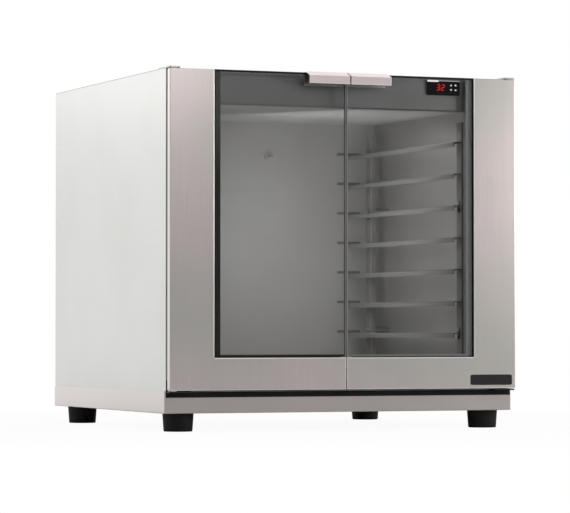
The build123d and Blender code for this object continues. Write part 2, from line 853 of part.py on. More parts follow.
def humidity_well():
    """Drawn tub welded under the cavity's floor, pierced for the element's ends."""
    top = cavity_floor - liner_sheet
    tub = prism_z(well_outline(liner_sheet), well_floor - liner_sheet, top)
    tub = fillet(tub.faces().sort_by(Axis.Z)[0].edges(), well_floor_radius + liner_sheet)
    tub += prism_z(well_outline(liner_sheet + well_flange), top - liner_sheet, top)
    inside = prism_z(well_outline(), well_floor, cavity_floor)
    tub -= fillet(inside.faces().sort_by(Axis.Z)[0].edges(), well_floor_radius)
    for x in element_legs()[::3]:
        tub -= rod_y(well_rear - beyond, well_rear + beyond, x, element_height,
                     element_tube_radius + element_hole_clearance)
    return tub


def water_pan():
    """Drawn pan that hangs in the well by its flat rim, open at the top."""
    high = cavity_floor + pan_sheet
    low = high - pan_depth
    bowl = prism_z(well_outline(-pan_clearance), low, high)
    bowl = fillet(bowl.faces().sort_by(Axis.Z)[0].edges(), pan_floor_radius + pan_sheet)
    bowl += prism_z(well_outline(pan_rim_overlap), cavity_floor, high)
    inside = prism_z(well_outline(-pan_clearance - pan_sheet), low + pan_sheet,
                     high + beyond)
    return bowl - fillet(inside.faces().sort_by(Axis.Z)[0].edges(), pan_floor_radius)


def temperature_probe():
    """Probe tube in a collar on the cavity's back wall."""
    tube = rod_y(cavity_rear - probe_length, cavity_rear + liner_sheet + probe_tail,
                 probe_side, probe_height, probe_radius)
    tip = tube.edges().filter_by(GeomType.CIRCLE).sort_by(Axis.Y)[0]
    tube = fillet(tip, probe_tip_radius)
    collar = rod_y(cavity_rear - probe_collar_length, cavity_rear, probe_side,
                   probe_height, probe_collar_radius)
    rim = collar.edges().filter_by(GeomType.CIRCLE).sort_by(Axis.Y)[0]
    return tube + chamfer(rim, probe_collar_chamfer)


# ---------------------------------------------------------------- controller
def button_places():
    """Middles of the four buttons, by name."""
    across = controller_side + button_side
    up = controller_height + button_drop
    places = {}
    for row, row_name in ((1, "upper"), (-1, "lower")):
        for column, column_name in ((-1, "left"), (1, "right")):
            places[f"button_{row_name}_{column_name}"] = (
                across + column * button_pitch_across / 2, up + row * button_pitch_up / 2)
    return places


def button_outline(x, z, grow):
    """A button's rounded rectangle, grown for its hole or its skirt."""
    half_x, half_z = button_length / 2 + grow, button_height / 2 + grow
    return plate_outline(x - half_x, x + half_x, z - half_z, z + half_z,
                         button_corner_radius + grow / 2)


def button(x, z):
    """Moulded key with a skirt that keeps it behind the bezel."""
    face = front - bezel_thickness - button_proud
    skirt_back = front - button_travel - button_gap
    cap = prism_y(button_outline(x, z, 0), face, skirt_back)
    rim = cap.faces().sort_by(Axis.Y)[0].edges()
    cap = fillet(rim, button_edge_radius)
    skirt = prism_y(button_outline(x, z, button_skirt),
                    skirt_back - button_skirt_thickness, skirt_back)
    return cap + skirt


def window_outline(grow=0.0):
    """The display window's rounded rectangle."""
    x = controller_side + window_side
    half_x, half_z = window_length / 2 + grow, window_height / 2 + grow
    return plate_outline(x - half_x, x + half_x, controller_height - half_z,
                         controller_height + half_z, window_corner_radius)


def controller_bezel():
    """Front frame of the controller, with a window recess and four key holes."""
    half_x, half_z = bezel_length / 2, bezel_height / 2
    outline = plate_outline(controller_side - half_x, controller_side + half_x,
                            controller_height - half_z, controller_height + half_z,
                            bezel_corner_radius)
    face = front - bezel_thickness
    bezel = prism_y(outline, face, front)
    bezel = fillet(bezel.faces().sort_by(Axis.Y)[0].edges(), bezel_edge_radius)
    bezel -= prism_y(window_outline(), face - beyond, face + window_thickness)
    pocket = front - button_travel - button_gap - button_skirt_thickness - button_gap
    for x, z in button_places().values():
        bezel -= prism_y(button_outline(x, z, button_gap), face - beyond, front + beyond)
        bezel -= prism_y(button_outline(x, z, button_skirt + button_gap), pocket,
                         front + beyond)
    return bezel


def display_window():
    """Tinted window over the digits."""
    face = front - bezel_thickness
    return prism_y(window_outline(), face, face + window_thickness)


def controller_housing():
    """Moulded housing behind the fascia, stepped at its connector end."""
    body = prism_y(controller_cutout(0), front, front + housing_depth)
    body = fillet(body.edges().filter_by(Axis.Y), housing_corner_radius)
    step = block(controller_side - housing_length, controller_side + housing_length,
                 front + housing_depth - 2 * housing_step, front + housing_depth + beyond,
                 controller_height + housing_height / 2 - housing_step, body_height)
    return body - step


# ---------------------------------------------------------------- doors, right-hand
def ell(outer, window_x, window_z):
    """L-shaped outline of a right door's frame: its outer sides are inset by the
    first value, and its window sides are moved into the frame by the others."""
    x0, x1 = door_seam + outer, door_outer - outer
    z0, z1 = door_bottom + outer, door_top - outer
    xw, zw = window_side_x + window_x, window_bottom_z - window_z
    return make_face(Polyline((x0, z0), (x1, z0), (x1, z1), (xw, z1), (xw, zw),
                              (x0, zw), close=True))


def door_frame():
    """Folded L-shaped frame: outer stile and bottom rail in one tray, with a
    rebate for the glass, a rounded heel at the hinge side and bush holes."""
    sheet = door_sheet
    tray = prism_y(ell(0, 0, 0), door_face, door_rear)
    tray = fillet(edges_along(tray, Axis.Z, x=near(door_outer), y=near(door_rear)),
                  door_heel_radius)
    corners = [edge for edge in tray.edges().filter_by(Axis.Y)
               if abs(edge.center().X - window_side_x) > door_corner_radius]
    corners = [edge for edge in corners
               if edge.center().X > window_side_x and edge.length > door_thickness / 2]
    tray = fillet(corners, door_corner_radius)
    tray = fillet(tray.faces().sort_by(Axis.Y)[0].edges(), door_edge_radius)
    tray -= prism_y(ell(sheet, sheet, sheet), door_face + sheet, ledge_rear)
    hollow = prism_y(ell(sheet, -beyond, -beyond), ledge_rear, door_rear - sheet)
    heel = edges_along(hollow, Axis.Z, x=near(door_outer - sheet), y=near(door_rear - sheet))
    tray -= fillet(heel, door_heel_radius - sheet)
    tray -= prism_y(ell(door_rear_flange, -beyond, -beyond), door_rear - sheet,
                    door_rear + beyond)
    ledge = ell(sheet, -ledge_side, -ledge_bottom) - ell(-beyond, sheet, sheet)
    tray += prism_y(ledge, glass_rear, ledge_rear)
    for z in (door_bottom, door_top):
        tray -= rod_z(z - beyond, z + beyond, pivot_x, pivot_y, bush_radius)
    return tray


def door_inner_panel():
    """L-shaped cover inside the frame's rear flange, turned forward to the rebate."""
    sheet = inner_panel_sheet
    depth = door_rear - door_sheet
    cover = prism_y(ell(door_heel_radius, -ledge_side, -ledge_bottom), ledge_rear, depth)
    inside = ell(-beyond, -ledge_side + sheet, -ledge_bottom + sheet)
    return cover - prism_y(inside, ledge_rear - beyond, depth - sheet)


def glass_outline(grow=0.0):
    """Rectangle of a right door's pane, grown for its seal."""
    inset = seal_width - grow
    return plate_outline(door_seam + inset, window_side_x - inset,
                         window_bottom_z + inset, door_top - inset)


def handle_bolt_places():
    """Places of a right handle's bolts."""
    z = door_top - handle_bolt_below_top
    near_end = handle_end_gap + handle_bolt_end_inset
    far_end = handle_end_gap + handle_length - handle_bolt_end_inset
    return [(near_end, z), (far_end, z)]


def door_glass():
    """Tinted pane, drilled for the handle's bolts."""
    pane = prism_y(glass_outline(), glass_face, glass_rear)
    for x, z in handle_bolt_places():
        pane -= rod_y(glass_face - beyond, glass_rear + beyond, x, z,
                      handle_bolt_radius + bolt_hole_gap)
    return pane


def glazing_seal():
    """Thin black edging all round the pane."""
    ring = glass_outline(seal_width) - glass_outline()
    return prism_y(ring, door_face + seal_recess, glass_rear)


def door_handle():
    """Folded tab: back plate behind the glass, flat over its edge, then a sloping
    top, a lip to pull and a hem under the lip. The fold clears the pane's corner."""
    back = glass_rear + handle_sheet
    high = door_top + handle_bend_radius + handle_sheet
    knee = door_face - handle_knee_gap
    lip = front - handle_reach
    lip_top = high - handle_slope_drop
    lip_bottom = lip_top - handle_lip_height
    walk = [(back, high - handle_back_drop), (back, high), (knee, high), (lip, lip_top),
            (lip, lip_bottom), (lip + handle_hem, lip_bottom)]
    section = bent_section(walk, handle_sheet, handle_bend_radius)
    tab = prism_x(section, handle_end_gap, handle_end_gap + handle_length)
    for x, z in handle_bolt_places():
        tab -= rod_y(glass_rear, back + beyond, x, z, handle_bolt_radius)
    return tab


def handle_bolts():
    """Round-head bolts through the glass, with nuts behind the back plate."""
    back = glass_rear + handle_sheet
    bolts = []
    for x, z in handle_bolt_places():
        bolt = screw_down_y(x, glass_face, z, handle_bolt_radius, handle_bolt_head_radius,
                            handle_bolt_head_height, back - glass_face, 1)
        hexagon = Pos(x, z) * RegularPolygon(handle_nut_radius, 6)
        bolts.append(bolt + prism_y(hexagon, back, back + handle_nut_thickness))
    return bolts


def bush(edge, way, flange):
    """Flanged nylon bush at the door's top or bottom edge; the way points out."""
    inner = edge - way * bush_length
    body = rod_z(inner, edge, pivot_x, pivot_y, bush_radius)
    body += rod_z(edge, edge + way * flange, pivot_x, pivot_y, bush_flange_radius)
    return body - rod_z(inner - way * beyond, edge + way * beyond, pivot_x, pivot_y,
                        pin_radius + pin_clearance)


def door_bushes():
    """Bushes at the top and bottom of the right door."""
    return [bush(door_top, 1, bush_top_flange), bush(door_bottom, -1, bush_bottom_flange)]


# ---------------------------------------------------------------- hinges and catches
def pin(seat, way):
    """Hinge pin that leaves its plate the given way, with a tapered tip."""
    body = rod_z(seat, seat + way * pin_length, pivot_x, pivot_y, pin_radius)
    rims = body.edges().filter_by(GeomType.CIRCLE).sort_by(Axis.Z)
    return chamfer(rims[-1] if way > 0 else rims[0], pin_tip)


def countersunk(x, y, z, length):
    """Countersunk screw pointing down from the plane z."""
    cone = Pos(x, y, z - hinge_screw_head_height / 2) * Cone(
        hinge_screw_radius, hinge_screw_head_radius, hinge_screw_head_height)
    return cone + rod_z(z - length, z - hinge_screw_head_height / 2, x, y,
                        hinge_screw_radius)


def top_hinge_screws():
    """Screws of the right top hinge plate."""
    level = under_top + top_plate_thickness
    return [countersunk(pivot_x, y, level, hinge_screw_length) for y in hinge_screw_rows()]


def hinge_top():
    """Right top hinge plate, let into the top panel, with its pin."""
    plate = prism_z(top_plate_outline(), under_top, under_top + top_plate_thickness)
    plate = plate + pin(under_top, -1)
    for screw in top_hinge_screws():
        plate -= screw
    return plate


def bottom_stud_places():
    """Studs of the right bottom hinge bracket, in X and Z."""
    height = bottom_plate_top - bottom_plate_drop / 2 - bottom_plate_thickness / 2
    inner, outer = bottom_plate_ends
    quarter = (outer - inner) / 4
    return [(inner + quarter, height), (outer - quarter, height)]


def bottom_hinge_studs():
    """Studs welded behind the base tray's front wall, with the nuts that hold the
    right bottom bracket on them."""
    behind = bottom_plate_seat + bottom_plate_thickness
    nut_end = behind + hinge_nut_thickness
    studs = []
    for x, z in bottom_stud_places():
        stud = rod_y(bottom_plate_seat, nut_end + hinge_stud_tip, x, z, hinge_screw_radius)
        hexagon = Pos(x, z) * RegularPolygon(hinge_nut_radius, 6)
        studs.append(stud + prism_y(hexagon, behind, nut_end))
    return studs


def hinge_bottom():
    """Right bottom hinge bracket: a plate under the door, folded down behind the base
    tray's front wall, with its pin."""
    behind = bottom_plate_seat + bottom_plate_thickness
    walk = [(behind, bottom_plate_top - bottom_plate_drop), (behind, bottom_plate_top),
            (door_face + plate_front_inset, bottom_plate_top)]
    section = bent_section(walk, bottom_plate_thickness, bend_radius)
    bracket = prism_x(section, *bottom_plate_ends)
    nose = edges_along(bracket, Axis.Z, y=near(door_face + plate_front_inset))
    bracket = fillet(nose, plate_corner_radius) + pin(bottom_plate_top, 1)
    for x, z in bottom_stud_places():
        bracket -= rod_y(bottom_plate_seat, behind, x, z, hinge_screw_radius)
    return bracket


def magnet_catch():
    """Right magnet, on the fascia behind the handle's back plate."""
    middle = handle_end_gap + handle_length / 2
    face = glass_rear + handle_sheet + catch_gap
    z = door_top - handle_bolt_below_top
    outline = plate_outline(middle - catch_length / 2, middle + catch_length / 2,
                            z - catch_height / 2, z + catch_height / 2, catch_edge_radius)
    return prism_y(outline, face, front)


# ---------------------------------------------------------------- assembly
def group(solids):
    """Separate solids of one kind under one name."""
    return Compound(children=list(solids))


def fixed_pieces():
    """Every piece that belongs to the cabinet."""
    hinge_fasteners = top_hinge_screws() + bottom_hinge_studs()
    hinge_fasteners += [other_side(one) for one in hinge_fasteners]
    right_side = side_panel()
    right_uprights = uprights()
    right_runners = [runner(z) for z in levels]
    catch = magnet_catch()
    pieces = {
        "base_tray": base_tray(),
        "side_panel_right": right_side,
        "side_panel_left": other_side(right_side),
        "top_panel": top_panel(),
        "back_panel": back_panel(),
        "back_screws": group(back_screws()),
        "cable_gland": cable_gland(),
        "front_fascia": front_fascia(),
        "front_jamb_right": front_jamb(),
        "front_jamb_left": other_side(front_jamb()),
        "front_sill": front_sill(),
        "cavity_seal": cavity_seal(),
        "cavity_side_right": cavity_side(),
        "cavity_side_left": other_side(cavity_side()),
        "cavity_ceiling": cavity_ceiling_panel(),
        "cavity_floor": cavity_floor_panel(),
        "cavity_back": cavity_back_panel(),
        "insulation": group(insulation()),
        "rack_right_uprights": group(right_uprights),
        "rack_left_uprights": group(other_side(one) for one in right_uprights),
        "rack_right_runners": group(right_runners),
        "rack_left_runners": group(other_side(one) for one in right_runners),
        "rack_pegs": group(pegs()),
        "humidity_well": humidity_well(),
        "heating_element": heating_element(),
        "water_pan": water_pan(),
        "temperature_probe": temperature_probe(),
        "controller_bezel": controller_bezel(),
        "display_window": display_window(),
        "controller_housing": controller_housing(),
        "hinge_top_right": hinge_top(),
        "hinge_top_left": other_side(hinge_top()),
        "hinge_bottom_right": hinge_bottom(),
        "hinge_bottom_left": other_side(hinge_bottom()),
        "hinge_screws": group(hinge_fasteners),
        "magnet_catch_right": catch,
        "magnet_catch_left": other_side(catch),
        "foot_screws": group(foot_screw(x, y) for x, y in foot_places().values()),
    }
    for name, (x, y) in foot_places().items():
        pieces[name] = foot(x, y)
    return pieces


def moving_pieces():
    """Both doors and the four buttons."""
    right = {
        "frame": [door_frame()],
        "inner_panel": [door_inner_panel()],
        "glass": [door_glass()],
        "glazing_seal": [glazing_seal()],
        "handle": [door_handle()],
        "handle_bolts": handle_bolts(),
        "bushes": door_bushes(),
    }
    pieces = {}
    for name, solids in right.items():
        mirrored = [other_side(one) for one in solids]
        single = len(solids) == 1
        pieces[f"door_right_{name}"] = solids[0] if single else group(solids)
        pieces[f"door_left_{name}"] = mirrored[0] if single else group(mirrored)
    for name, (x, z) in button_places().items():
        pieces[name] = button(x, z)
    return pieces


os.makedirs("parts", exist_ok=True)
for node, shape in {**fixed_pieces(), **moving_pieces()}.items():
    export_step(shape, f"parts/{node}.step")
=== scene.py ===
"""Looks of a glass-door dough proofer: finishes, small pieces and a studio round its frame.

Metres, +Z up, the floor at Z = 0, -Y towards a person who faces the doors.
"""

import json
import logging
import math
from abc import ABC, abstractmethod
from dataclasses import dataclass, field
from enum import Enum

import bpy
import numpy as np
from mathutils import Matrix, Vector

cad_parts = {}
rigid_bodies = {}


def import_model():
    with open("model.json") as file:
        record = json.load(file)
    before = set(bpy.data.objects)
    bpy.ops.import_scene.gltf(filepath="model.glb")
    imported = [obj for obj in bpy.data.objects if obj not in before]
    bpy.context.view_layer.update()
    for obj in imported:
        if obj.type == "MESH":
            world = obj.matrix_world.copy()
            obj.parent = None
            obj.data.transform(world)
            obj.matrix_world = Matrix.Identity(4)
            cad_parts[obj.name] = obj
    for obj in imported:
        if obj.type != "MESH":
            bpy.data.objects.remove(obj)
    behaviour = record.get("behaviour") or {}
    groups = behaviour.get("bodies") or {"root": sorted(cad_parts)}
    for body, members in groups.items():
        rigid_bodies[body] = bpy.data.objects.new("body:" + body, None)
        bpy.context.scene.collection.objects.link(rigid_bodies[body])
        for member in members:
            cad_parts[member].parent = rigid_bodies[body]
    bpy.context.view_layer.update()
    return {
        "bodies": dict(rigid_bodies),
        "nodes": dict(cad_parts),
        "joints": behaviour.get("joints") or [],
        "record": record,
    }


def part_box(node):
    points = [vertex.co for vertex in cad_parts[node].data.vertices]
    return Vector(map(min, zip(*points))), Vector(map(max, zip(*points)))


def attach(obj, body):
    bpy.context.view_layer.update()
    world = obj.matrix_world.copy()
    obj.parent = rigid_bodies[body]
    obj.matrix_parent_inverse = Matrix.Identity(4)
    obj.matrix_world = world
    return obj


LOG = logging.getLogger("proofer")

Colour = tuple[float, float, float]
Place = tuple[float, float, float]
Frame = dict


def srgb(red: float, green: float, blue: float) -> Colour:
    """Turns display values of 0 to 255 into linear light: near black by a straight line,
    and above it by a power of 2.4, as the sRGB standard sets out.

    Args:
        red: Red, as a display shows it.
        green: Green, as a display shows it.
        blue: Blue, as a display shows it.

    Returns:
        The linear colour, each part from 0 to 1.
    """
    parts = np.array([red, green, blue]) / 255.0
    linear = np.where(parts <= 0.04045, parts / 12.92, ((parts + 0.055) / 1.055) ** 2.4)
    return tuple(float(part) for part in linear)


def opaque(colour: Colour) -> tuple[float, float, float, float]:
    """Adds a full alpha to a colour."""
    return (*colour, 1.0)


def grey(tone: float) -> tuple[float, float, float, float]:
    """An opaque grey."""
    return (tone, tone, tone, 1.0)


def add_object(name: str, data: bpy.types.ID) -> bpy.types.Object:
    """Makes an object of some data and links it to the scene.

    Args:
        name: The object's name.
        data: Its mesh, lamp or camera.

    Returns:
        The object.
    """
    made = bpy.data.objects.new(name, data)
    bpy.context.scene.collection.objects.link(made)
    return made


# ------------------------------------------------------------------ shader graphs
class Value:
    """One output in a node graph, with arithmetic that adds Math nodes."""

    def __init__(self, graph: "Graph", socket: bpy.types.NodeSocket) -> None:
        """Keeps the graph and the output socket."""
        self.graph = graph
        self.socket = socket

    def _maths(self, operation: str, *terms: "Value | float") -> "Value":
        """Adds one Math node.

        Args:
            operation: The Math node's operation.
            terms: Values or numbers for its sockets, in order.

        Returns:
            The node's result.
        """
        return self.graph.add("ShaderNodeMath", {"operation": operation},
                              dict(enumerate(terms)))

    def __add__(self, other: "Value | float") -> "Value":
        """Sum."""
        return self._maths("ADD", self, other)

    __radd__ = __add__

    def __sub__(self, other: "Value | float") -> "Value":
        """Difference."""
        return self._maths("SUBTRACT", self, other)

    def __rsub__(self, other: "Value | float") -> "Value":
        """Difference, with this value taken away."""
        return self._maths("SUBTRACT", other, self)

    def __mul__(self, other: "Value | float") -> "Value":
        """Product."""
        return self._maths("MULTIPLY", self, other)

    __rmul__ = __mul__

    def above(self, limit: float) -> "Value":
        """1 where the value is over the limit, otherwise 0."""
        return self._maths("GREATER_THAN", self, limit)

    def below(self, limit: float) -> "Value":
        """1 where the value is under the limit, otherwise 0."""
        return self._maths("LESS_THAN", self, limit)

    def between(self, low: float, high: float) -> "Value":
        """1 where the value lies between two limits, otherwise 0."""
        return self.above(low) * self.below(high)

    def magnitude(self) -> "Value":
        """The value without its sign."""
        return self._maths("ABSOLUTE", self)

    def nearest(self, start: float, pitch: float) -> "Value":
        """Signed way from the nearest of a row of marks.

        Args:
            start: Place of the first mark.
            pitch: Step from one mark to the next.

        Returns:
            The way, from minus half a pitch to half a pitch.
        """
        return self._maths("WRAP", self - start, pitch / 2, -pitch / 2)

    def ease(self, low: float, high: float) -> "Value":
        """Smooth rise from 0 to 1 between two limits.

        Args:
            low: Where it starts.
            high: Where it ends.

        Returns:
            The share, from 0 to 1.
        """
        return self.graph.add(
            "ShaderNodeMapRange", {"interpolation_type": "SMOOTHSTEP"},
            {"Value": self, "From Min": low, "From Max": high})


class Graph:
    """A material's or world's node graph."""

    def __init__(self, owner: bpy.types.Material | bpy.types.World) -> None:
        """Empties the owner's graph and takes it over.

        Args:
            owner: The material or world.
        """
        owner.use_nodes = True
        self.tree = owner.node_tree
        self.tree.nodes.clear()

    def add(self, kind: str, settings: dict | None = None,
            sockets: dict | None = None, output: int | str = 0) -> Value:
        """Adds one node.

        Args:
            kind: The node's type.
            settings: Its properties, which are set first.
            sockets: Input name or number to a Value, a number or a tuple.
            output: Name or number of the output to return.

        Returns:
            That output.
        """
        node = self.tree.nodes.new(kind)
        for name, setting in (settings or {}).items():
            setattr(node, name, setting)
        for name, value in (sockets or {}).items():
            if isinstance(value, Value):
                self.tree.links.new(value.socket, node.inputs[name])
            else:
                node.inputs[name].default_value = value
        return Value(self, node.outputs[output])

    def place(self) -> Value:
        """The point's place in its object, in metres."""
        return self.add("ShaderNodeTexCoord", output="Object")

    def ray(self, kind: str) -> Value:
        """1 for a kind of light ray, such as Is Camera Ray, otherwise 0."""
        return self.add("ShaderNodeLightPath", output=kind)

    def parts(self, vector: Value) -> tuple[Value, Value, Value]:
        """The X, Y and Z of a vector."""
        split = self.add("ShaderNodeSeparateXYZ", sockets={0: vector}).socket.node
        return tuple(Value(self, output) for output in split.outputs)

    def noise(self, vector: Value, cells: float | tuple[float, float, float],
              detail: float = 2.0, roughness: float = 0.5) -> Value:
        """Soft noise from 0 to 1.

        Args:
            vector: Where the noise is read.
            cells: Cells per metre, in one number or along X, Y and Z.
            detail: Octaves.
            roughness: Share of the finer octaves.

        Returns:
            The noise.
        """
        stretch = (cells,) * 3 if isinstance(cells, float) else cells
        scaled = self.add("ShaderNodeVectorMath", {"operation": "MULTIPLY"},
                          {0: vector, 1: stretch})
        return self.add("ShaderNodeTexNoise", {"noise_dimensions": "3D"},
                        {"Vector": scaled, "Scale": 1.0, "Detail": detail,
                         "Roughness": roughness})

    def blend(self, share: Value, first: Value | tuple, second: Value | tuple) -> Value:
        """Mixes two colours.

        Args:
            share: Share of the second colour.
            first: First colour.
            second: Second colour.

        Returns:
            The mixed colour.
        """
        return self.add("ShaderNodeMix", {"data_type": "RGBA"},
                        {0: share, 6: first, 7: second}, output=2)

    def bump(self, height: Value, depth: float, tilt: float) -> Value:
        """A normal tilted by a height.

        Args:
            height: Height from 0 to 1.
            depth: Metres that a height of 1 stands for.
            tilt: Share of the tilt that is used.

        Returns:
            The normal.
        """
        return self.add("ShaderNodeBump", sockets={
            "Height": height, "Distance": depth, "Strength": tilt})

    def principled(self, sockets: dict) -> Value:
        """Adds a Principled shader."""
        return self.add("ShaderNodeBsdfPrincipled", sockets=sockets)

    def layer(self, share: Value, first: Value, second: Value) -> Value:
        """Mixes two shaders.

        Args:
            share: Share of the second shader.
            first: First shader.
            second: Second shader.

        Returns:
            The mixed shader.
        """
        return self.add("ShaderNodeMixShader", sockets={0: share, 1: first, 2: second})

    def surface(self, shader: Value) -> None:
        """Sends a shader to the output."""
        self.add_output("ShaderNodeOutputMaterial", shader)

    def add_output(self, kind: str, shader: Value) -> None:
        """Adds an output node of a kind and feeds its surface."""
        node = self.tree.nodes.new(kind)
        self.tree.links.new(shader.socket, node.inputs["Surface"])


class Grain(Enum):
    """Direction that a sheet was brushed in: cells of the streaks per metre."""

    ALONG_X = (5.0, 1100.0, 1100.0)
    ALONG_Y = (1100.0, 5.0, 1100.0)
    ALONG_Z = (1100.0, 1100.0, 5.0)


class Finish(ABC):
    """A finish that makes its material once, however many pieces wear it."""

    name: str
    _made: dict["Finish", bpy.types.Material] = {}

    @abstractmethod
    def draw(self, graph: Graph) -> None:
        """Builds the finish in its material's empty graph."""

    def material(self) -> bpy.types.Material:
        """Makes the material on the first call, and keeps it for the next ones.

        Returns:
            The finish's material.
        """
        if self not in Finish._made:
            made = bpy.data.materials.new(self.name)
            self.draw(Graph(made))
            Finish._made[self] = made
        return Finish._made[self]


@dataclass(frozen=True)
class BrushedSteel(Finish):
    """Brushed stainless sheet: long streaks, faint clouds and uneven gloss from wear."""

    name: str
    bright: Colour
    dull: Colour
    grain: Grain = Grain.ALONG_X
    roughness: float = 0.34
    streak_roughness: float = 0.6
    streak_depth: float = 0.000004
    streak_shade: float = 0.928
    streak_share: float = 0.35
    streak_limits: tuple[float, float] = (0.32, 0.62)
    streak_gloss: float = 0.10
    streak_tilt: float = 0.3
    cloud_cells: float = 3.2
    cloud_limits: tuple[float, float] = (0.36, 0.64)
    wear_cells: float = 14.0
    wear_gloss: float = 0.06
    metallic: float = 1.0

    def brushing(self, graph: Graph, place: Value) -> Value:
        """The brushing's streaks, from 0 to 1."""
        return graph.noise(place, self.grain.value, roughness=self.streak_roughness)

    def tone(self, graph: Graph, place: Value, streaks: Value) -> Value:
        """Colour of the sheet.

        Args:
            graph: The material's graph.
            place: Where it is read.
            streaks: The brushing, from 0 to 1.

        Returns:
            The colour.
        """
        clouds = graph.noise(place, self.cloud_cells, detail=3.0)
        base = graph.blend(clouds.ease(*self.cloud_limits), opaque(self.bright),
                           opaque(self.dull))
        shade = tuple(part * self.streak_shade for part in self.dull)
        low, high = self.streak_limits
        scratch = (high - streaks).ease(0.0, high - low) * self.streak_share
        return graph.blend(scratch, base, opaque(shade))

    def draw(self, graph: Graph) -> None:
        """Builds the finish.

        Args:
            graph: The material's graph.
        """
        place = graph.place()
        streaks = self.brushing(graph, place)
        wear = graph.noise(place, self.wear_cells, detail=4.0)
        graph.surface(graph.principled({
            "Base Color": self.tone(graph, place, streaks),
            "Metallic": self.metallic,
            "Roughness": (self.roughness + (streaks - 0.5) * self.streak_gloss
                          + (wear - 0.5) * self.wear_gloss),
            "Normal": graph.bump(streaks, self.streak_depth, self.streak_tilt)}))


@dataclass(frozen=True)
class PaintedZoneSteel(BrushedSteel):
    """Steel with a second colour beyond a limit on one axis, on both sides of 0: painted light
    where that colour is lighter than the sheet, painted shade where it is darker.
    """

    # The defaults are the racks': painted shade, darker at the runners' rear ends beyond Y
    # 0.2742.
    painted_zone: Colour = (0.20, 0.20, 0.195)
    axis: int = 1
    beyond: float = 0.2742

    def tone(self, graph: Graph, place: Value, streaks: Value) -> Value:
        """Colour of the sheet, with its painted light and shade beyond the limit.

        Args:
            graph: The material's graph.
            place: Where it is read.
            streaks: The brushing, from 0 to 1.

        Returns:
            The colour.
        """
        outer = graph.parts(place)[self.axis].magnitude().above(self.beyond)
        return graph.blend(outer, super().tone(graph, place, streaks), opaque(self.painted_zone))


class Drive(Enum):
    """Shape of the drive hole in a fastener's head, whose shade is painted dark."""

    CROSS = "cross"
    HEX = "hex"


@dataclass(frozen=True)
class ScrewSteel(BrushedSteel):
    """Fastener steel with the shade of a drive hole painted dark on every head of a row, on
    both sides of X = 0.

    The heads stand at one place on the lane's axis and follow each other along the
    row's; only what lies beyond a limit along the facing axis is a head's flat top. A
    lane is an axis and a place, a row an axis, its first head and its step, and a
    facing an axis, a sign and a limit. A cross is two crossed bars, and a hexagon is
    what three bands have in common, each turned 60 degrees from the next.
    """

    drive: Drive = Drive.CROSS
    lane: tuple[int, float] = (0, 0.359)
    row: tuple[int, float, float] = (2, 0.1202, 0.18233)
    facing: tuple[int, float, float] = (1, 1.0, 0.3538)
    reach: float = 0.0021
    arm: float = 0.00042
    # Painted shade: this dark colour stands for the shade inside each drive hole.
    drive_shade: Colour = (0.012, 0.012, 0.012)

    def tone(self, graph: Graph, place: Value, streaks: Value) -> Value:
        """Colour of the fastener and its recess.

        Args:
            graph: The material's graph.
            place: Where it is read.
            streaks: The brushing, from 0 to 1.

        Returns:
            The colour.
        """
        x, y, z = graph.parts(place)
        axes = (x.magnitude(), y, z)
        aside = axes[self.lane[0]] - self.lane[1]
        along = axes[self.row[0]].nearest(self.row[1], self.row[2])
        top = (axes[self.facing[0]] * self.facing[1]).above(self.facing[2])
        if self.drive is Drive.HEX:
            half, rest = along * 0.5, aside * math.sin(math.pi / 3)
            first, second, third = (way.magnitude().below(self.reach)
                                    for way in (along, half + rest, half - rest))
            painted_mask = first * second * third
        else:
            near, wide = aside.magnitude(), along.magnitude()
            painted_mask = (near.below(self.arm) * wide.below(self.reach)
                   + wide.below(self.arm) * near.below(self.reach))
        return graph.blend(painted_mask * top, super().tone(graph, place, streaks),
                           opaque(self.drive_shade))


@dataclass(frozen=True)
class GripSteel(BrushedSteel):
    """Handle steel with a painted highlight along the lower edge of the lip and at its outer
    end.
    """

    # Painted highlight: its colour, and where it starts along the lower edge and at the outer
    # end.
    edge: Colour = (0.95, 0.94, 0.93)
    edge_below: float = 0.6985
    edge_fade: float = 0.0008
    end_beyond: float = 0.0882
    end_fade: float = 0.0006

    def tone(self, graph: Graph, place: Value, streaks: Value) -> Value:
        """Colour of the handle and its painted highlights.

        Args:
            graph: The material's graph.
            place: Where it is read.
            streaks: The brushing, from 0 to 1.

        Returns:
            The colour.
        """
        x, _, z = graph.parts(place)
        low = (self.edge_below - z).ease(0.0, self.edge_fade)
        end = (x.magnitude() - self.end_beyond).ease(0.0, self.end_fade)
        # Painted highlight on the lip's lower edge and the outer end.
        highlight = low + end * (1.0 - low)
        return graph.blend(highlight, super().tone(graph, place, streaks), opaque(self.edge))


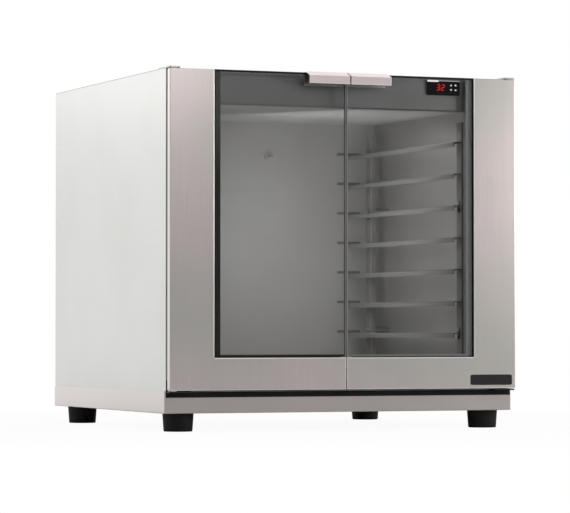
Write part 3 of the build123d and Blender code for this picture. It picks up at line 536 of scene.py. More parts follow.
@dataclass(frozen=True)
class DoorSteel(BrushedSteel):
    """Door sheet with painted highlights along the edges round its front and painted shade
    along its outer edges, and with the bonding tape that carries the pane on its rebate; the
    tape is paler at the top, and its tone on each door is painted light and shade."""

    tape: Colour = (0.025, 0.023, 0.022)
    tape_top: Colour = (0.150, 0.160, 0.135)
    tape_pales: tuple[float, float] = (0.48, 0.66)
    tape_gloss: float = 0.3
    tape_overlap: float = 0.0005
    tape_front: float = -0.34665
    tape_rear: float = -0.3463
    window_side: float = 0.285
    window_bottom: float = 0.1468
    # Painted highlight: a bright band of this width along the window's edges and the meeting
    # edge, and under the next limit along the door's bottom.
    highlight_width: float = 0.0020
    highlight_colour: Colour = (0.93, 0.92, 0.91)
    highlight_below: float = 0.0836
    # Painted shade: the outer edges beyond this limit take a darker grey.
    outer_from: float = 0.3784
    outer_shade: Colour = (0.70, 0.68, 0.67)

    def draw(self, graph: Graph) -> None:
        """Builds the finish.

        Args:
            graph: The material's graph.
        """
        place = graph.place()
        streaks = self.brushing(graph, place)
        x, y, z = graph.parts(place)
        across = x.magnitude()
        taped = y.between(self.tape_front, self.tape_rear) * across.below(
            self.window_side + self.tape_overlap)
        side = across.between(self.window_side, self.window_side + self.highlight_width)
        below = z.between(self.window_bottom - self.highlight_width, self.window_bottom)
        # Painted highlight along the window's edges, the meeting edge and the door's bottom,
        # on the front of the sheet.
        painted_mask = (side * z.above(self.window_bottom) + below * across.below(self.window_side)
               + across.below(self.highlight_width) + z.below(self.highlight_below)) * y.below(self.tape_front)
        steel = graph.blend(painted_mask, self.tone(graph, place, streaks), opaque(self.highlight_colour))
        # Painted shade along the outer edges.
        steel = graph.blend(across.above(self.outer_from), steel, opaque(self.outer_shade))
        tape = graph.blend(z.ease(*self.tape_pales), opaque(self.tape),
                           opaque(self.tape_top))
        colour = graph.blend(taped, steel, tape)
        bare = 1.0 - taped
        graph.surface(graph.principled({
            "Base Color": colour,
            "Metallic": bare,
            "Roughness": (self.roughness + (streaks - 0.5) * bare * self.streak_gloss
                          + taped * self.tape_gloss),
            "Normal": graph.bump(streaks * bare, self.streak_depth, self.streak_tilt)}))


@dataclass(frozen=True)
class TintedGlass(Finish):
    """Grey toughened glass with a line of black enamel along its top: what is behind
    shows through each face, darkened, and the surroundings are mirrored by Fresnel's
    law. Lamps shine through it."""

    name: str = "tinted_glass"
    face_tint: Colour = (0.70, 0.70, 0.70)
    index: float = 1.2
    mirror_tone: float = 0.9
    mirror_roughness: float = 0.03
    enamel: Colour = (0.006, 0.006, 0.006)
    enamel_from: float = 0.7156
    enamel_roughness: float = 0.5
    enamel_specular: float = 0.2

    def draw(self, graph: Graph) -> None:
        """Builds the finish.

        Args:
            graph: The material's graph.
        """
        through = graph.add("ShaderNodeBsdfTransparent",
                            sockets={"Color": opaque(self.face_tint)})
        mirror = graph.principled({
            "Base Color": grey(self.mirror_tone), "Metallic": 1.0,
            "Roughness": self.mirror_roughness})
        fresnel = graph.add("ShaderNodeFresnel", sockets={"IOR": self.index})
        black = graph.principled({
            "Base Color": opaque(self.enamel), "Roughness": self.enamel_roughness,
            "Specular IOR Level": self.enamel_specular})
        line = graph.parts(graph.place())[2].above(self.enamel_from)
        pane = graph.layer(line, graph.layer(fresnel, through, mirror), black)
        clear = graph.add("ShaderNodeBsdfTransparent")
        graph.surface(graph.layer(graph.ray("Is Shadow Ray"), pane, clear))


@dataclass(frozen=True)
class Rubber(Finish):
    """Moulded black rubber with a fine matte skin and patches of dust."""

    name: str
    colour: Colour = (0.012, 0.011, 0.010)
    dust: Colour = (0.045, 0.042, 0.038)
    dust_cells: float = 35.0
    dust_limits: tuple[float, float] = (0.5, 0.75)
    dust_share: float = 0.5
    roughness: float = 0.62
    specular: float = 0.22
    skin_cells: float = 900.0
    skin_depth: float = 0.00008
    skin_gloss: float = 0.2
    skin_tilt: float = 0.5

    def shade(self, graph: Graph, place: Value) -> Value:
        """Colour of the rubber and its dust.

        Args:
            graph: The material's graph.
            place: Where it is read.

        Returns:
            The colour.
        """
        dusty = graph.noise(place, self.dust_cells, detail=4.0).ease(*self.dust_limits)
        return graph.blend(dusty * self.dust_share, opaque(self.colour), opaque(self.dust))

    def draw(self, graph: Graph) -> None:
        """Builds the finish.

        Args:
            graph: The material's graph.
        """
        place = graph.place()
        skin = graph.noise(place, self.skin_cells, detail=3.0)
        graph.surface(graph.principled({
            "Base Color": self.shade(graph, place),
            "Specular IOR Level": self.specular,
            "Roughness": self.roughness + (skin - 0.5) * self.skin_gloss,
            "Normal": graph.bump(skin, self.skin_depth, self.skin_tilt)}))


@dataclass(frozen=True)
class PaneEdging(Rubber):
    """Black edging of a pane, with a clear grey lip where the two doors meet."""

    lip: Colour = (0.25, 0.25, 0.245)
    lip_reach: float = 0.012

    def shade(self, graph: Graph, place: Value) -> Value:
        """Colour of the edging.

        Args:
            graph: The material's graph.
            place: Where it is read.

        Returns:
            The colour.
        """
        lipped = graph.parts(place)[0].magnitude().below(self.lip_reach)
        return graph.blend(lipped, super().shade(graph, place), opaque(self.lip))


@dataclass(frozen=True)
class Moulding(Finish):
    """Injection-moulded plastic: faint flow marks under a finely grained skin."""

    name: str
    colour: Colour
    roughness: float = 0.4
    skin_cells: float = 2200.0
    skin_depth: float = 0.00002
    skin_gloss: float = 0.12
    skin_tilt: float = 0.4
    flow_cells: float = 60.0
    flow_limits: tuple[float, float] = (0.3, 0.7)
    flow_shade: float = 0.82

    def draw(self, graph: Graph) -> None:
        """Builds the finish.

        Args:
            graph: The material's graph.
        """
        place = graph.place()
        skin = graph.noise(place, self.skin_cells)
        flow = graph.noise(place, self.flow_cells).ease(*self.flow_limits)
        shade = tuple(part * self.flow_shade for part in self.colour)
        graph.surface(graph.principled({
            "Base Color": graph.blend(flow, opaque(self.colour), opaque(shade)),
            "Roughness": self.roughness + (skin - 0.5) * self.skin_gloss,
            "Normal": graph.bump(skin, self.skin_depth, self.skin_tilt)}))


@dataclass(frozen=True)
class BezelPlastic(Finish):
    """Glossy black bezel with a bare pale strip along its upper edge, dim at one end; the
    strip's glow is painted light.
    """

    name: str = "bezel_plastic"
    colour: Colour = (0.008, 0.008, 0.009)
    strip: Colour = (0.95, 0.95, 0.93)
    dim_strip: Colour = (0.36, 0.36, 0.35)
    strip_low: float = 0.7108
    strip_high: float = 0.7145
    dim_low: float = 0.7124
    bright_until: float = 0.2135
    front_face: float = -0.3358
    glow: float = 1.3
    roughness: float = 0.22
    strip_roughness: float = 0.42
    skin_cells: float = 1500.0
    skin_depth: float = 0.00001
    skin_gloss: float = 0.08
    skin_tilt: float = 0.3

    def draw(self, graph: Graph) -> None:
        """Builds the finish.

        Args:
            graph: The material's graph.
        """
        place = graph.place()
        skin = graph.noise(place, self.skin_cells)
        x, y, z = graph.parts(place)
        facing = y.below(self.front_face)
        bright = z.between(self.strip_low, self.strip_high) * x.below(self.bright_until)
        dim = z.between(self.dim_low, self.strip_high) * x.above(self.bright_until)
        banded = (bright + dim) * facing
        strip = graph.blend(dim, opaque(self.strip), opaque(self.dim_strip))
        graph.surface(graph.principled({
            "Base Color": graph.blend(banded, opaque(self.colour), strip),
            "Roughness": (self.roughness + (skin - 0.5) * self.skin_gloss
                          + banded * (self.strip_roughness - self.roughness)),
            # Painted light: the pale strip glows by emission, dimmer at one end.
            "Emission Color": graph.blend(banded, grey(0.0), strip),
            "Emission Strength": self.glow,
            "Normal": graph.bump(skin, self.skin_depth, self.skin_tilt)}))


@dataclass(frozen=True)
class LitSegment(Finish):
    """Glowing red segment of a digit, a little hotter in patches."""

    name: str = "lit_segment"
    unlit: Colour = (0.25, 0.01, 0.01)
    glow: Colour = (1.0, 0.012, 0.03)
    hot_glow: Colour = (1.0, 0.05, 0.06)
    patch_cells: float = 700.0
    roughness: float = 0.35

    def draw(self, graph: Graph) -> None:
        """Builds the finish.

        Args:
            graph: The material's graph.
        """
        hot = graph.noise(graph.place(), self.patch_cells, detail=1.0)
        graph.surface(graph.principled({
            "Base Color": opaque(self.unlit), "Roughness": self.roughness,
            "Emission Color": graph.blend(hot, opaque(self.glow), opaque(self.hot_glow)),
            "Emission Strength": 1.0}))


@dataclass(frozen=True)
class LitPrint(Finish):
    """White print that a lamp behind the key lights, dimmer where the ink is thick."""

    name: str = "lit_print"
    ink: Colour = (0.86, 0.86, 0.84)
    glow: Colour = (0.95, 0.95, 0.93)
    strength: float = 1.3
    cover_cells: float = 1800.0
    cover_shade: float = 0.85
    roughness: float = 0.5

    def draw(self, graph: Graph) -> None:
        """Builds the finish.

        Args:
            graph: The material's graph.
        """
        cover = graph.noise(graph.place(), self.cover_cells)
        thick = tuple(part * self.cover_shade for part in self.glow)
        graph.surface(graph.principled({
            "Base Color": opaque(self.ink), "Roughness": self.roughness,
            "Emission Color": graph.blend(cover, opaque(self.glow), opaque(thick)),
            "Emission Strength": self.strength}))


@dataclass(frozen=True)
class GlassWool(Finish):
    """Yellow glass wool: fibres that lie along Y, in pale and deep clumps."""

    name: str = "glass_wool"
    pale: Colour = (0.72, 0.62, 0.28)
    deep: Colour = (0.42, 0.32, 0.10)
    clump_cells: float = 28.0
    fibre_cells: tuple[float, float, float] = (420.0, 60.0, 420.0)
    fibre_roughness: float = 0.7
    fibre_depth: float = 0.0015
    fibre_tilt: float = 0.8
    roughness: float = 0.95

    def draw(self, graph: Graph) -> None:
        """Builds the finish.

        Args:
            graph: The material's graph.
        """
        place = graph.place()
        fibres = graph.noise(place, self.fibre_cells, detail=5.0,
                             roughness=self.fibre_roughness)
        clumps = graph.noise(place, self.clump_cells, detail=3.0)
        graph.surface(graph.principled({
            "Base Color": graph.blend((fibres + clumps) * 0.5, opaque(self.deep),
                                      opaque(self.pale)),
            "Roughness": self.roughness,
            "Normal": graph.bump(fibres, self.fibre_depth, self.fibre_tilt)}))


@dataclass(frozen=True)
class HeatedTube(Finish):
    """Heating element's sheath, straw to blue-grey where it has been hot."""

    name: str = "heated_tube"
    cold: Colour = (0.32, 0.30, 0.27)
    hot: Colour = (0.10, 0.10, 0.13)
    tint_cells: float = 22.0
    tint_limits: tuple[float, float] = (0.35, 0.65)
    tint_gloss: float = 0.3
    roughness: float = 0.45

    def draw(self, graph: Graph) -> None:
        """Builds the finish.

        Args:
            graph: The material's graph.
        """
        place = graph.place()
        tint = graph.noise(place, self.tint_cells, detail=4.0)
        graph.surface(graph.principled({
            "Base Color": graph.blend(tint.ease(*self.tint_limits), opaque(self.cold),
                                      opaque(self.hot)),
            "Metallic": 1.0,
            "Roughness": self.roughness + (tint - 0.5) * self.tint_gloss}))


class Finishes:
    """Every finish of the proofer, named for the pieces that wear it."""

    panel = BrushedSteel("side_steel", srgb(220, 220, 218), srgb(216, 216, 213),
                         Grain.ALONG_Y, roughness=0.38)
    lid = BrushedSteel("lid_steel", srgb(210, 209, 206), srgb(204, 204, 201),
                       Grain.ALONG_X, roughness=0.6)
    door_tones = (srgb(214, 202, 201), srgb(200, 197, 192))
    doors = {
        "left": DoorSteel("left_door_steel", *door_tones, Grain.ALONG_Z),
        # The tape's two tones are painted light and shade: near-black on the left door's
        # rebate is painted shade, grey on the right door's rebate is painted light.
        "right": DoorSteel("right_door_steel", *door_tones, Grain.ALONG_Z,
                           tape=(0.50, 0.50, 0.50), tape_top=(0.50, 0.50, 0.50))}
    # Painted light: the base's ends beyond X 0.3812, which face the sides, are lighter than
    # its front.
    base = PaintedZoneSteel("base_steel", srgb(198, 189, 187), srgb(191, 184, 181),
                      Grain.ALONG_X, painted_zone=srgb(222, 216, 213), axis=0, beyond=0.3812)
    # Painted shade: the sill under the doors is dark steel that stands for the shade in the
    # gap below them.
    sill = BrushedSteel("sill_shade_steel", srgb(64, 63, 62), srgb(56, 55, 54),
                        Grain.ALONG_X, roughness=0.55)
    # Painted shade: the bottom hinges' brackets are dark steel that stands for the shade under
    # the doors.
    hinge_shade_steel = BrushedSteel("hinge_shade_steel", srgb(62, 62, 64), srgb(50, 50, 52),
                              Grain.ALONG_X, roughness=0.45)
    fascia = BrushedSteel("fascia_steel", srgb(186, 187, 186), srgb(176, 177, 175),
                          Grain.ALONG_X, roughness=0.42)
    frame = BrushedSteel("frame_steel", srgb(186, 184, 180), srgb(172, 171, 167),
                         Grain.ALONG_Z, roughness=0.42)
    liner = BrushedSteel("liner_steel", srgb(196, 196, 194), srgb(189, 188, 185),
                         Grain.ALONG_X, roughness=0.8, metallic=0.35)
    ceiling = BrushedSteel("ceiling_steel", srgb(214, 214, 214), srgb(208, 208, 208),
                           Grain.ALONG_X, roughness=0.95, metallic=0.15)
    side_liner = BrushedSteel("side_liner_steel", srgb(198, 197, 195), srgb(191, 190, 187),
                              Grain.ALONG_X, roughness=0.72, metallic=0.7)
    upright = BrushedSteel("upright_steel", srgb(158, 158, 157), srgb(151, 151, 150),
                           Grain.ALONG_Z, roughness=0.7, metallic=0.35)
    # Painted shade: the runners' rear ends beyond Y 0.2742 take a darker grey.
    rack = PaintedZoneSteel("rack_steel", srgb(154, 154, 153), srgb(147, 147, 146),
                      Grain.ALONG_Y, roughness=0.7, metallic=0.3)
    fastener_tones = (srgb(190, 189, 187), srgb(170, 170, 168))
    hardware = BrushedSteel("hardware_steel", *fastener_tones, Grain.ALONG_X, roughness=0.36)
    grip = GripSteel("grip_steel", srgb(240, 226, 225), srgb(231, 219, 217),
                     Grain.ALONG_X, roughness=0.32)
    back_screw = ScrewSteel("back_screw_steel", *fastener_tones)
    hinge_screw = ScrewSteel("hinge_screw_steel", *fastener_tones, lane=(0, 0.370),
                             row=(1, -0.3175, 0.020), facing=(2, 1.0, 0.7231),
                             reach=0.0024)
    bolt = ScrewSteel("handle_bolt_steel", *fastener_tones, drive=Drive.HEX, lane=(2, 0.7041),
                      row=(0, 0.0133, 0.0645), facing=(1, -1.0, 0.3548), reach=0.0013)
    glass = TintedGlass()
    seal = Rubber("seal_rubber", colour=(0.006, 0.006, 0.006), dust=(0.02, 0.019, 0.018))
    edging = PaneEdging("pane_edging", colour=(0.006, 0.006, 0.006),
                        dust=(0.012, 0.012, 0.011))
    foot = Rubber("foot_rubber", colour=(0.006, 0.006, 0.0055), dust=(0.02, 0.019, 0.017))
    bezel = BezelPlastic()
    window = Moulding("window_plastic", (0.022, 0.004, 0.004), roughness=0.12,
                      skin_depth=0.000004)
    key = Moulding("key_plastic", (0.022, 0.022, 0.023), roughness=0.45)
    mark = LitPrint()
    plate = Moulding("plate_enamel", (0.006, 0.006, 0.0065), roughness=0.30)
    housing = Moulding("housing_plastic", (0.03, 0.03, 0.032), roughness=0.55)
    gland = Moulding("gland_plastic", (0.035, 0.036, 0.038), roughness=0.5)
    nylon = Moulding("nylon", (0.74, 0.72, 0.66), roughness=0.5)
    magnet = Moulding("magnet_case", (0.035, 0.035, 0.036), roughness=0.5)
    digit = LitSegment()
    wool = GlassWool()
    tube = HeatedTube()


# ------------------------------------------------------------------ surfaces
def mesh_piece(name: str, points: np.ndarray, faces: list[tuple[int, ...]], body: str,
               finish: Finish, slot: str) -> None:
    """Makes one piece from points and faces, dresses it and ties it to a body.

    Args:
        name: The piece's name.
        points: N by 3 places in the row frame, in metres.
        faces: Corners of each face, anticlockwise from outside.
        body: CAD body that it moves with.
        finish: Its finish.
        slot: Material slot of the record that it belongs to; not used.
    """
    mesh = bpy.data.meshes.new(name)
    mesh.from_pydata(points.tolist(), [], faces)
    mesh.materials.append(finish.material())
    mesh.update()
    piece = add_object(name, mesh)
    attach(piece, body)
    LOG.info("%s: %d faces on %s", name, len(mesh.polygons), body)


def skin_faces(rings: int, corners: int, first: int = 0) -> list[tuple[int, ...]]:
    """Faces of a closed skin: quads between neighbouring rings, and a cap at each end.

    Args:
        rings: Rings of the skin.
        corners: Points of each ring.
        first: Number of the skin's first point.

    Returns:
        The faces; they point outwards where the rings go round clockwise as seen along
        the way from the first ring to the last.
    """
    ring, corner = np.meshgrid(np.arange(rings - 1), np.arange(corners), indexing="ij")
    here = first + ring * corners + corner
    beside = first + ring * corners + (corner + 1) % corners
    quads = np.stack([here, here + corners, beside + corners, beside], axis=-1)
    cap = np.arange(corners) + first
    last = cap[::-1] + (rings - 1) * corners
    return [tuple(cap.tolist()), tuple(last.tolist()),
            *(tuple(quad) for quad in quads.reshape(-1, 4).tolist())]


def slabs(outlines: list[np.ndarray], front: float, rear: float
          ) -> tuple[np.ndarray, list[tuple[int, ...]]]:
    """Flat plates that stand in the XZ plane: each outline at the front, then at the rear.

    Args:
        outlines: Outlines of X and Z, anticlockwise as seen from the front.
        front: Y of the faces that look towards -Y.
        rear: Y of the other faces.

    Returns:
        Points and faces of all the plates.
    """
    points, faces, first = [], [], 0
    for outline in outlines:
        for depth in (front, rear):
            points.append(np.stack([outline[:, 0], np.full(len(outline), depth),
                                    outline[:, 1]], axis=-1))
        faces += skin_faces(2, len(outline), first)
        first += 2 * len(outline)
    return np.concatenate(points), faces


def superellipse(turn: np.ndarray, width: float, height: float, power: float
                 ) -> np.ndarray:
    """Each coordinate is half its side times the cosine or sine of the turn, raised to 2
    over the power with its sign kept.

    Args:
        turn: Angles of the points, in radians.
        width: Side along the first axis.
        height: Side along the second axis.
        power: 2 for an ellipse, more for squarer corners.

    Returns:
        The points about the middle.
    """
    circle = np.stack([np.cos(turn), np.sin(turn)], axis=-1)
    return np.sign(circle) * np.abs(circle) ** (2 / power) * (width / 2, height / 2)


def rounded_outline(width: float, height: float, power: float, count: int) -> np.ndarray:
    """Closed superellipse.

    Args:
        width: Side along X.
        height: Side along Z.
        power: 2 for an ellipse, more for squarer corners.
        count: Points round it.

    Returns:
        The outline about its middle, anticlockwise.
    """
    turn = np.linspace(0.0, 2.0 * np.pi, count, endpoint=False)
    return superellipse(turn, width, height, power)


# ------------------------------------------------------------------ sub-assemblies
class Hand(Enum):
    """Side of the proofer that a door hangs on."""

    LEFT = "left"
    RIGHT = "right"


SIDES = [hand.value for hand in Hand]


def dress(frame: Frame, finishes: dict[str, Finish]) -> None:
    """Gives CAD nodes their finishes.

    Args:
        finishes: Node name to finish.
    """
    for node, finish in finishes.items():
        mesh = frame["nodes"][node].data
        mesh.materials.clear()
        mesh.materials.append(finish.material())
        LOG.info("%s wears %s", node, finish.name)


@dataclass
class Digits:
    """Seven-segment figures behind the controller's window.

    A segment is a long hexagon: its half width is full along the middle and falls to
    nothing over the last half width at each end.
    """

    body: str = "cabinet"
    shown: str = "32"
    height: float = 0.0132
    width: float = 0.0086
    stroke: float = 0.0019
    pitch: float = 0.0106
    slant: float = 0.10
    gap: float = 0.00025
    rise: float = 0.00012
    right_edge: float = 0.2299

    SEGMENTS = {"0": "abcdef", "1": "bc", "2": "abged", "3": "abgcd", "4": "fgbc",
                "5": "afgcd", "6": "afgecd", "7": "abc", "8": "abcdefg", "9": "abcdfg"}

    def _ends(self) -> dict[str, tuple[float, float, float, float]]:
        """Works out where each segment of a figure runs.

        Returns:
            Segment letter to the X and Z of its start and of its end.
        """
        wide, high = self.width - self.stroke, (self.height - self.stroke) / 2
        return {"a": (0, 2 * high, wide, 2 * high), "g": (0, high, wide, high),
                "d": (0, 0, wide, 0), "f": (0, high, 0, 2 * high), "e": (0, 0, 0, high),
                "b": (wide, high, wide, 2 * high), "c": (wide, 0, wide, high)}

    def _segment(self, ends: tuple[float, float, float, float], corner: Vector
                 ) -> np.ndarray:
        """Outline of one segment.

        Args:
            ends: Its start and end in the figure.
            corner: Lower left corner of the figure, on the window's face.

        Returns:
            Six corners, anticlockwise.
        """
        start, end = np.array(ends[:2]), np.array(ends[2:])
        way = (end - start) / np.linalg.norm(end - start)
        across = np.array([-way[1], way[0]])
        half = self.stroke / 2
        start, end = start + way * self.gap, end - way * self.gap
        flat = np.array([start, start + (way - across) * half, end - (way + across) * half,
                         end, end + (across - way) * half, start + (way + across) * half])
        return np.stack([corner.x + flat[:, 0] + self.slant * flat[:, 1],
                         corner.z + flat[:, 1]], axis=-1)

    def build(self) -> None:
        """Builds the lit figures as one piece."""
        low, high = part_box("display_window")
        left = self.right_edge - self.pitch * len(self.shown)
        lowest = (low.z + high.z - self.height + self.stroke) / 2
        outlines = [self._segment(self._ends()[name],
                                  Vector((left + place * self.pitch, low.y, lowest)))
                    for place, figure in enumerate(self.shown)
                    for name in self.SEGMENTS[figure]]
        mesh_piece("display_digits", *slabs(outlines, low.y - self.rise, low.y + self.rise),
                   self.body, Finishes.digit, "window_plastic")


@dataclass
class KeyMarks:
    """White marks on the controller's four keys: plain signs for more, less, stop, set."""

    size: float = 0.0044
    arrow_tip: float = 0.45
    arrow_foot: float = 0.35
    square_width: float = 0.90
    square_height: float = 0.72
    square_power: float = 3.0
    oval_width: float = 0.95
    oval_height: float = 0.60
    dot_points: int = 20
    rise: float = 0.00006

    def _outline(self, key: str) -> np.ndarray:
        """Outline of a key's mark, whose proportions are shares of its size.

        Args:
            key: Name of the key node.

        Returns:
            The outline about its middle, anticlockwise.
        """
        up = np.array([(-0.5, -self.arrow_foot), (0.5, -self.arrow_foot),
                       (0.0, self.arrow_tip)])
        marks = {"button_upper_left": up,
                 "button_lower_left": -up,
                 "button_upper_right": rounded_outline(self.square_width, self.square_height,
                                                       self.square_power, self.dot_points),
                 "button_lower_right": rounded_outline(self.oval_width, self.oval_height,
                                                       2.0, self.dot_points)}
        return marks[key] * self.size

    def build(self, keys: list[str]) -> None:
        """Prints a mark on the middle of each key's face.

        Args:
            keys: Names of the key nodes.
        """
        for key in keys:
            low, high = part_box(key)
            middle = np.array([(low.x + high.x) / 2, (low.z + high.z) / 2])
            mesh_piece(f"{key}_mark",
                       *slabs([self._outline(key) + middle], low.y - self.rise,
                              low.y + self.rise),
                       f"{key}_key", Finishes.mark, "button_plastic")


@dataclass
class BlankPlate:
    """Small black plate on the right door's lower corner, bare, with a pillowed edge.

    Its rings are one rounded outline that keeps its size up the side and then draws in
    as a quarter circle does.
    """

    body: str = "door_right"
    middle: tuple[float, float] = (0.3240, 0.0998)
    width: float = 0.0945
    height: float = 0.0214
    thickness: float = 0.0009
    edge: float = 0.0005
    edge_rings: int = 5
    corner_power: float = 14.0
    count: int = 96
    pane_setback: float = 0.001

    def build(self) -> None:
        """Builds the plate on the door's face."""
        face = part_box("door_right_glass")[0].y - self.pane_setback
        turn = np.linspace(0.0, np.pi / 2, self.edge_rings)
        depth = np.concatenate([[0.0], self.thickness - self.edge + self.edge * np.sin(turn)])
        inset = np.concatenate([[0.0], self.edge * (1.0 - np.cos(turn))])
        rings = [rounded_outline(self.width - 2 * pull, self.height - 2 * pull,
                                 self.corner_power, self.count) for pull in inset]
        points = np.concatenate([
            np.stack([self.middle[0] + ring[:, 0], np.full(self.count, face - out),
                      self.middle[1] + ring[:, 1]], axis=-1)
            for ring, out in zip(rings[::-1], depth[::-1])])
        mesh_piece("door_right_blank_plate", points, skin_faces(len(rings), self.count),
                   self.body, Finishes.plate, "bezel_plastic")


@dataclass
class Controller:
    """Panel controller in the fascia: bezel, window, four keys and lit figures."""

    KEYS = [f"button_{row}_{side}" for row in ("upper", "lower") for side in SIDES]

    digits: Digits = field(default_factory=Digits)
    marks: KeyMarks = field(default_factory=KeyMarks)

    def build(self) -> None:
        """Builds the lit figures and the keys' marks."""
        self.digits.build()
        self.marks.build(self.KEYS)

    def dress(self, frame: Frame) -> None:
        """Dresses the controller's nodes.
        """
        dress(frame, {"controller_bezel": Finishes.bezel, "display_window": Finishes.window,
                      "controller_housing": Finishes.housing,
                      **{key: Finishes.key for key in self.KEYS}})


@dataclass
class Door:
    """One glass door with its L-shaped frame, pane, edging, handle and bushes."""

    hand: Hand

    def dress(self, frame: Frame) -> None:
        """Dresses the door's nodes.
        """
        side = self.hand.value
        name = f"door_{side}"
        dress(frame, {f"{name}_frame": Finishes.doors[side],
                      f"{name}_inner_panel": Finishes.frame,
                      f"{name}_glass": Finishes.glass, f"{name}_glazing_seal": Finishes.edging,
                      f"{name}_handle": Finishes.grip,
                      f"{name}_handle_bolts": Finishes.bolt,
                      f"{name}_bushes": Finishes.nylon})


@dataclass
class ShadeStrip:
    """Black rubber strip along the top of the base's front, under the doors: a painted shadow
    of the doors' overhang.

    Its section is a half superellipse that stands out from the sheet; the same section
    is carried from one end to the other.
    """

    body: str = "cabinet"
    low: float = 0.0680
    high: float = 0.0794
    end_gap: float = 0.0030
    proud: float = 0.0016
    power: float = 5.0
    count: int = 24
    stations: int = 9

    def build(self) -> None:
        """Builds the strip on the base's front."""
        near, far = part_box("base_tray")
        turn = np.linspace(-np.pi / 2, np.pi / 2, self.count)
        section = superellipse(turn, 2 * self.proud, self.high - self.low, self.power)
        along = np.linspace(near.x + self.end_gap, far.x - self.end_gap, self.stations)
        x, out = np.meshgrid(along, section[:, 0], indexing="ij")
        z = np.broadcast_to((self.high + self.low) / 2 + section[:, 1], out.shape)
        points = np.stack([x, near.y - out, z], axis=-1).reshape(-1, 3)
        mesh_piece("base_shade_strip", points, skin_faces(self.stations, self.count),
                   self.body, Finishes.seal, "black_rubber")


@dataclass
class Cabinet:
    """Outer body: base tray, panels, front frame, hinges, catches, gland and feet."""

    shade_strip: ShadeStrip = field(default_factory=ShadeStrip)

    def build(self) -> None:
        """Builds the strip of painted shadow under the doors."""
        self.shade_strip.build()

    def dress(self, frame: Frame) -> None:
        """Dresses the cabinet's nodes.
        """
        finishes = {"base_tray": Finishes.base, "top_panel": Finishes.lid,
                    "back_panel": Finishes.lid, "back_screws": Finishes.back_screw,
                    "cable_gland": Finishes.gland, "front_fascia": Finishes.fascia,
                    "front_sill": Finishes.sill, "cavity_seal": Finishes.seal,
                    "insulation": Finishes.wool, "hinge_screws": Finishes.hinge_screw,
                    "foot_screws": Finishes.hardware}
        for side in SIDES:
            finishes[f"side_panel_{side}"] = Finishes.panel
            finishes[f"front_jamb_{side}"] = Finishes.frame
            finishes[f"hinge_top_{side}"] = Finishes.hardware
            finishes[f"hinge_bottom_{side}"] = Finishes.hinge_shade_steel
            finishes[f"magnet_catch_{side}"] = Finishes.magnet
            finishes[f"foot_front_{side}"] = Finishes.foot
            finishes[f"foot_rear_{side}"] = Finishes.foot
        dress(frame, finishes)


@dataclass
class Cavity:
    """Heated cavity: liner, racks, humidity well, element, pan and probe."""

    def dress(self, frame: Frame) -> None:
        """Dresses the cavity's nodes.
        """
        finishes = {node: Finishes.liner for node in
                    ("cavity_floor", "cavity_back", "humidity_well", "water_pan",
                     "temperature_probe")}
        finishes["cavity_ceiling"] = Finishes.ceiling
        for side in SIDES:
            finishes[f"cavity_side_{side}"] = Finishes.side_liner
            finishes[f"rack_{side}_uprights"] = Finishes.upright
            finishes[f"rack_{side}_runners"] = Finishes.rack
        finishes.update({"rack_pegs": Finishes.hardware, "heating_element": Finishes.tube})
        dress(frame, finishes)


# ------------------------------------------------------------------ studio
@dataclass
class Softbox:
    """A large soft lamp that faces a point."""

    name: str
    place: Place
    aim: Place
    width: float
    height: float
    radiance: float

    def build(self) -> None:
        """Hangs the lamp; its power is its radiance times pi times its area."""
        lamp = bpy.data.lights.new(self.name, "AREA")
        lamp.shape = "RECTANGLE"
        lamp.size, lamp.size_y = self.width, self.height
        lamp.energy = self.radiance * math.pi * self.width * self.height
        holder = add_object(self.name, lamp)
        holder.location = self.place
        way = Vector(self.aim) - Vector(self.place)
        holder.rotation_euler = way.to_track_quat("-Z", "Y").to_euler()
        LOG.info("lamp %s", self.name)


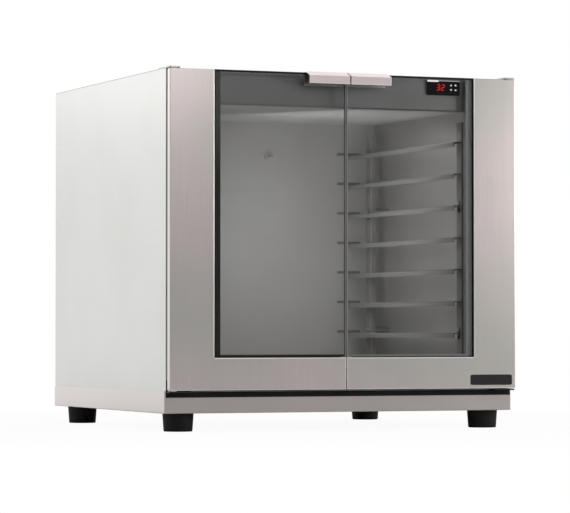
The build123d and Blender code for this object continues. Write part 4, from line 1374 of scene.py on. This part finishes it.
@dataclass
class Studio:
    """Pale floor, white cyclorama, soft lamps and the camera."""

    camera_place: Place = (-2.39405, -5.86077, 0.2024)
    camera_yaw: float = 0.38937
    camera_pitch: float = 0.0246
    lens: float = 188.1
    sensor_width: float = 36.0
    clip_end: float = 200.0
    floor_radius: float = 60.0
    floor_corners: int = 64
    floor_tone: float = 0.80
    floor_share: float = 0.95
    floor_whitens: tuple[float, float] = (0.75, 1.6)
    floor_darkens: tuple[float, float] = (-1.2, 0.3)
    front_tone: float = 0.47
    front_ends: tuple[float, float] = (-0.75, 0.25)
    horizon_tone: float = 0.30
    horizon_ends: tuple[float, float] = (0.06, 0.26)
    world_light: float = 0.75

    def lamps(self) -> list[Softbox]:
        """Lists the lamps: four round the proofer, and four inside its cavity.

        Returns:
            The lamps.
        """
        door = (0.0, -0.35, 0.40)
        return [
            Softbox("left_back_softbox", place=(-1.26, 1.52, 1.05), aim=(-0.38, 0.0, 0.5),
                    width=0.90, height=0.55, radiance=0.66),
            Softbox("right_softbox", place=(1.54, -1.24, 0.64), aim=door,
                    width=0.81, height=0.58, radiance=6.6),
            Softbox("front_softbox", place=(0.0, -1.98, 1.16), aim=door,
                    width=0.72, height=0.54, radiance=3.1),
            Softbox("mouth_softbox", place=(-0.13, -0.28, 0.46), aim=(-0.13, 0.3, 0.62),
                    width=0.34, height=0.24, radiance=1.05),
            Softbox("corner_softbox", place=(0.02, -0.06, 0.41), aim=(0.38, 0.26, 0.41),
                    width=0.20, height=0.32, radiance=5.2),
            Softbox("cavity_softbox", place=(0.0, -0.10, 0.645), aim=(0.0, 0.0, 0.1),
                    width=0.60, height=0.30, radiance=1.4),
            Softbox("cavity_floor_softbox", place=(0.0, -0.08, 0.11), aim=(0.0, 0.0, 0.6),
                    width=0.62, height=0.36, radiance=0.8),
            Softbox("top_softbox", place=(0.0, -0.4, 3.2), aim=(0.0, 0.0, 0.36),
                    width=2.4, height=2.4, radiance=0.6),
        ]

    def build_world(self) -> None:
        """Builds the backdrop: white to the camera, and for what mirrors it white behind,
        grey in front and darker at the front's horizon."""
        world = bpy.data.worlds.new("studio")
        bpy.context.scene.world = world
        graph = Graph(world)
        _, y, z = graph.parts(graph.add("ShaderNodeTexCoord", output="Generated"))
        front = graph.blend(z.magnitude().ease(*self.horizon_ends), grey(self.horizon_tone),
                            grey(self.front_tone))
        around = graph.blend(y.ease(*self.front_ends), front, grey(1.0))
        colour = graph.blend(graph.ray("Is Camera Ray"), around, grey(1.0))
        strength = 1.0 - graph.ray("Is Diffuse Ray") * (1.0 - self.world_light)
        graph.add_output("ShaderNodeOutputWorld", graph.add(
            "ShaderNodeBackground", sockets={"Color": colour, "Strength": strength}))

    def build_floor(self) -> None:
        """Builds a wide round floor that holds a faint shadow near the proofer and is
        white to the camera; what mirrors it sees it darken towards the front."""
        turn = np.linspace(0.0, 2.0 * np.pi, self.floor_corners, endpoint=False)
        points = self.floor_radius * np.stack([np.cos(turn), np.sin(turn), 0.0 * turn],
                                              axis=-1)
        mesh = bpy.data.meshes.new("studio_floor")
        mesh.from_pydata(points.tolist(), [], [tuple(range(self.floor_corners))])
        material = bpy.data.materials.new("studio_floor")
        graph = Graph(material)
        x, y, _ = graph.parts(graph.place())
        radius = graph.add("ShaderNodeMath", {"operation": "SQRT"}, {0: x * x + y * y})
        matte = graph.add("ShaderNodeBsdfDiffuse", sockets={"Color": grey(self.floor_tone)})
        seen = graph.ray("Is Camera Ray")
        mirrored = self.front_tone + (1.0 - self.front_tone) * y.ease(*self.floor_darkens)
        white = graph.add("ShaderNodeEmission",
                          sockets={"Strength": seen + (1.0 - seen) * mirrored})
        held = self.floor_share * seen
        share = held + (1.0 - held) * radius.ease(*self.floor_whitens)
        graph.surface(graph.layer(share, matte, white))
        mesh.materials.append(material)
        add_object("studio_floor", mesh)

    def build_camera(self) -> None:
        """Sets the camera and the plain view."""
        data = bpy.data.cameras.new("camera")
        data.lens = self.lens
        data.sensor_width = self.sensor_width
        data.clip_end = self.clip_end
        camera = add_object("camera", data)
        camera.location = self.camera_place
        way = Vector((math.sin(self.camera_yaw) * math.cos(self.camera_pitch),
                      math.cos(self.camera_yaw) * math.cos(self.camera_pitch),
                      math.sin(self.camera_pitch)))
        camera.rotation_euler = way.to_track_quat("-Z", "Y").to_euler()
        bpy.context.scene.camera = camera
        bpy.context.scene.view_settings.view_transform = "Standard"

    def build(self) -> None:
        """Builds floor, world, lamps and camera."""
        self.build_world()
        self.build_floor()
        for lamp in self.lamps():
            lamp.build()
        self.build_camera()


def main() -> None:
    """Loads the frame, builds and dresses every sub-assembly, and lights it."""
    logging.basicConfig(level=logging.INFO)
    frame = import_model()
    cabinet, controller = Cabinet(), Controller()
    for assembly in (cabinet, controller, BlankPlate()):
        assembly.build()
    for assembly in (cabinet, Cavity(), controller, Door(Hand.LEFT), Door(Hand.RIGHT)):
        assembly.dress(frame)
    Studio().build()


if __name__ == "__main__":
    main()
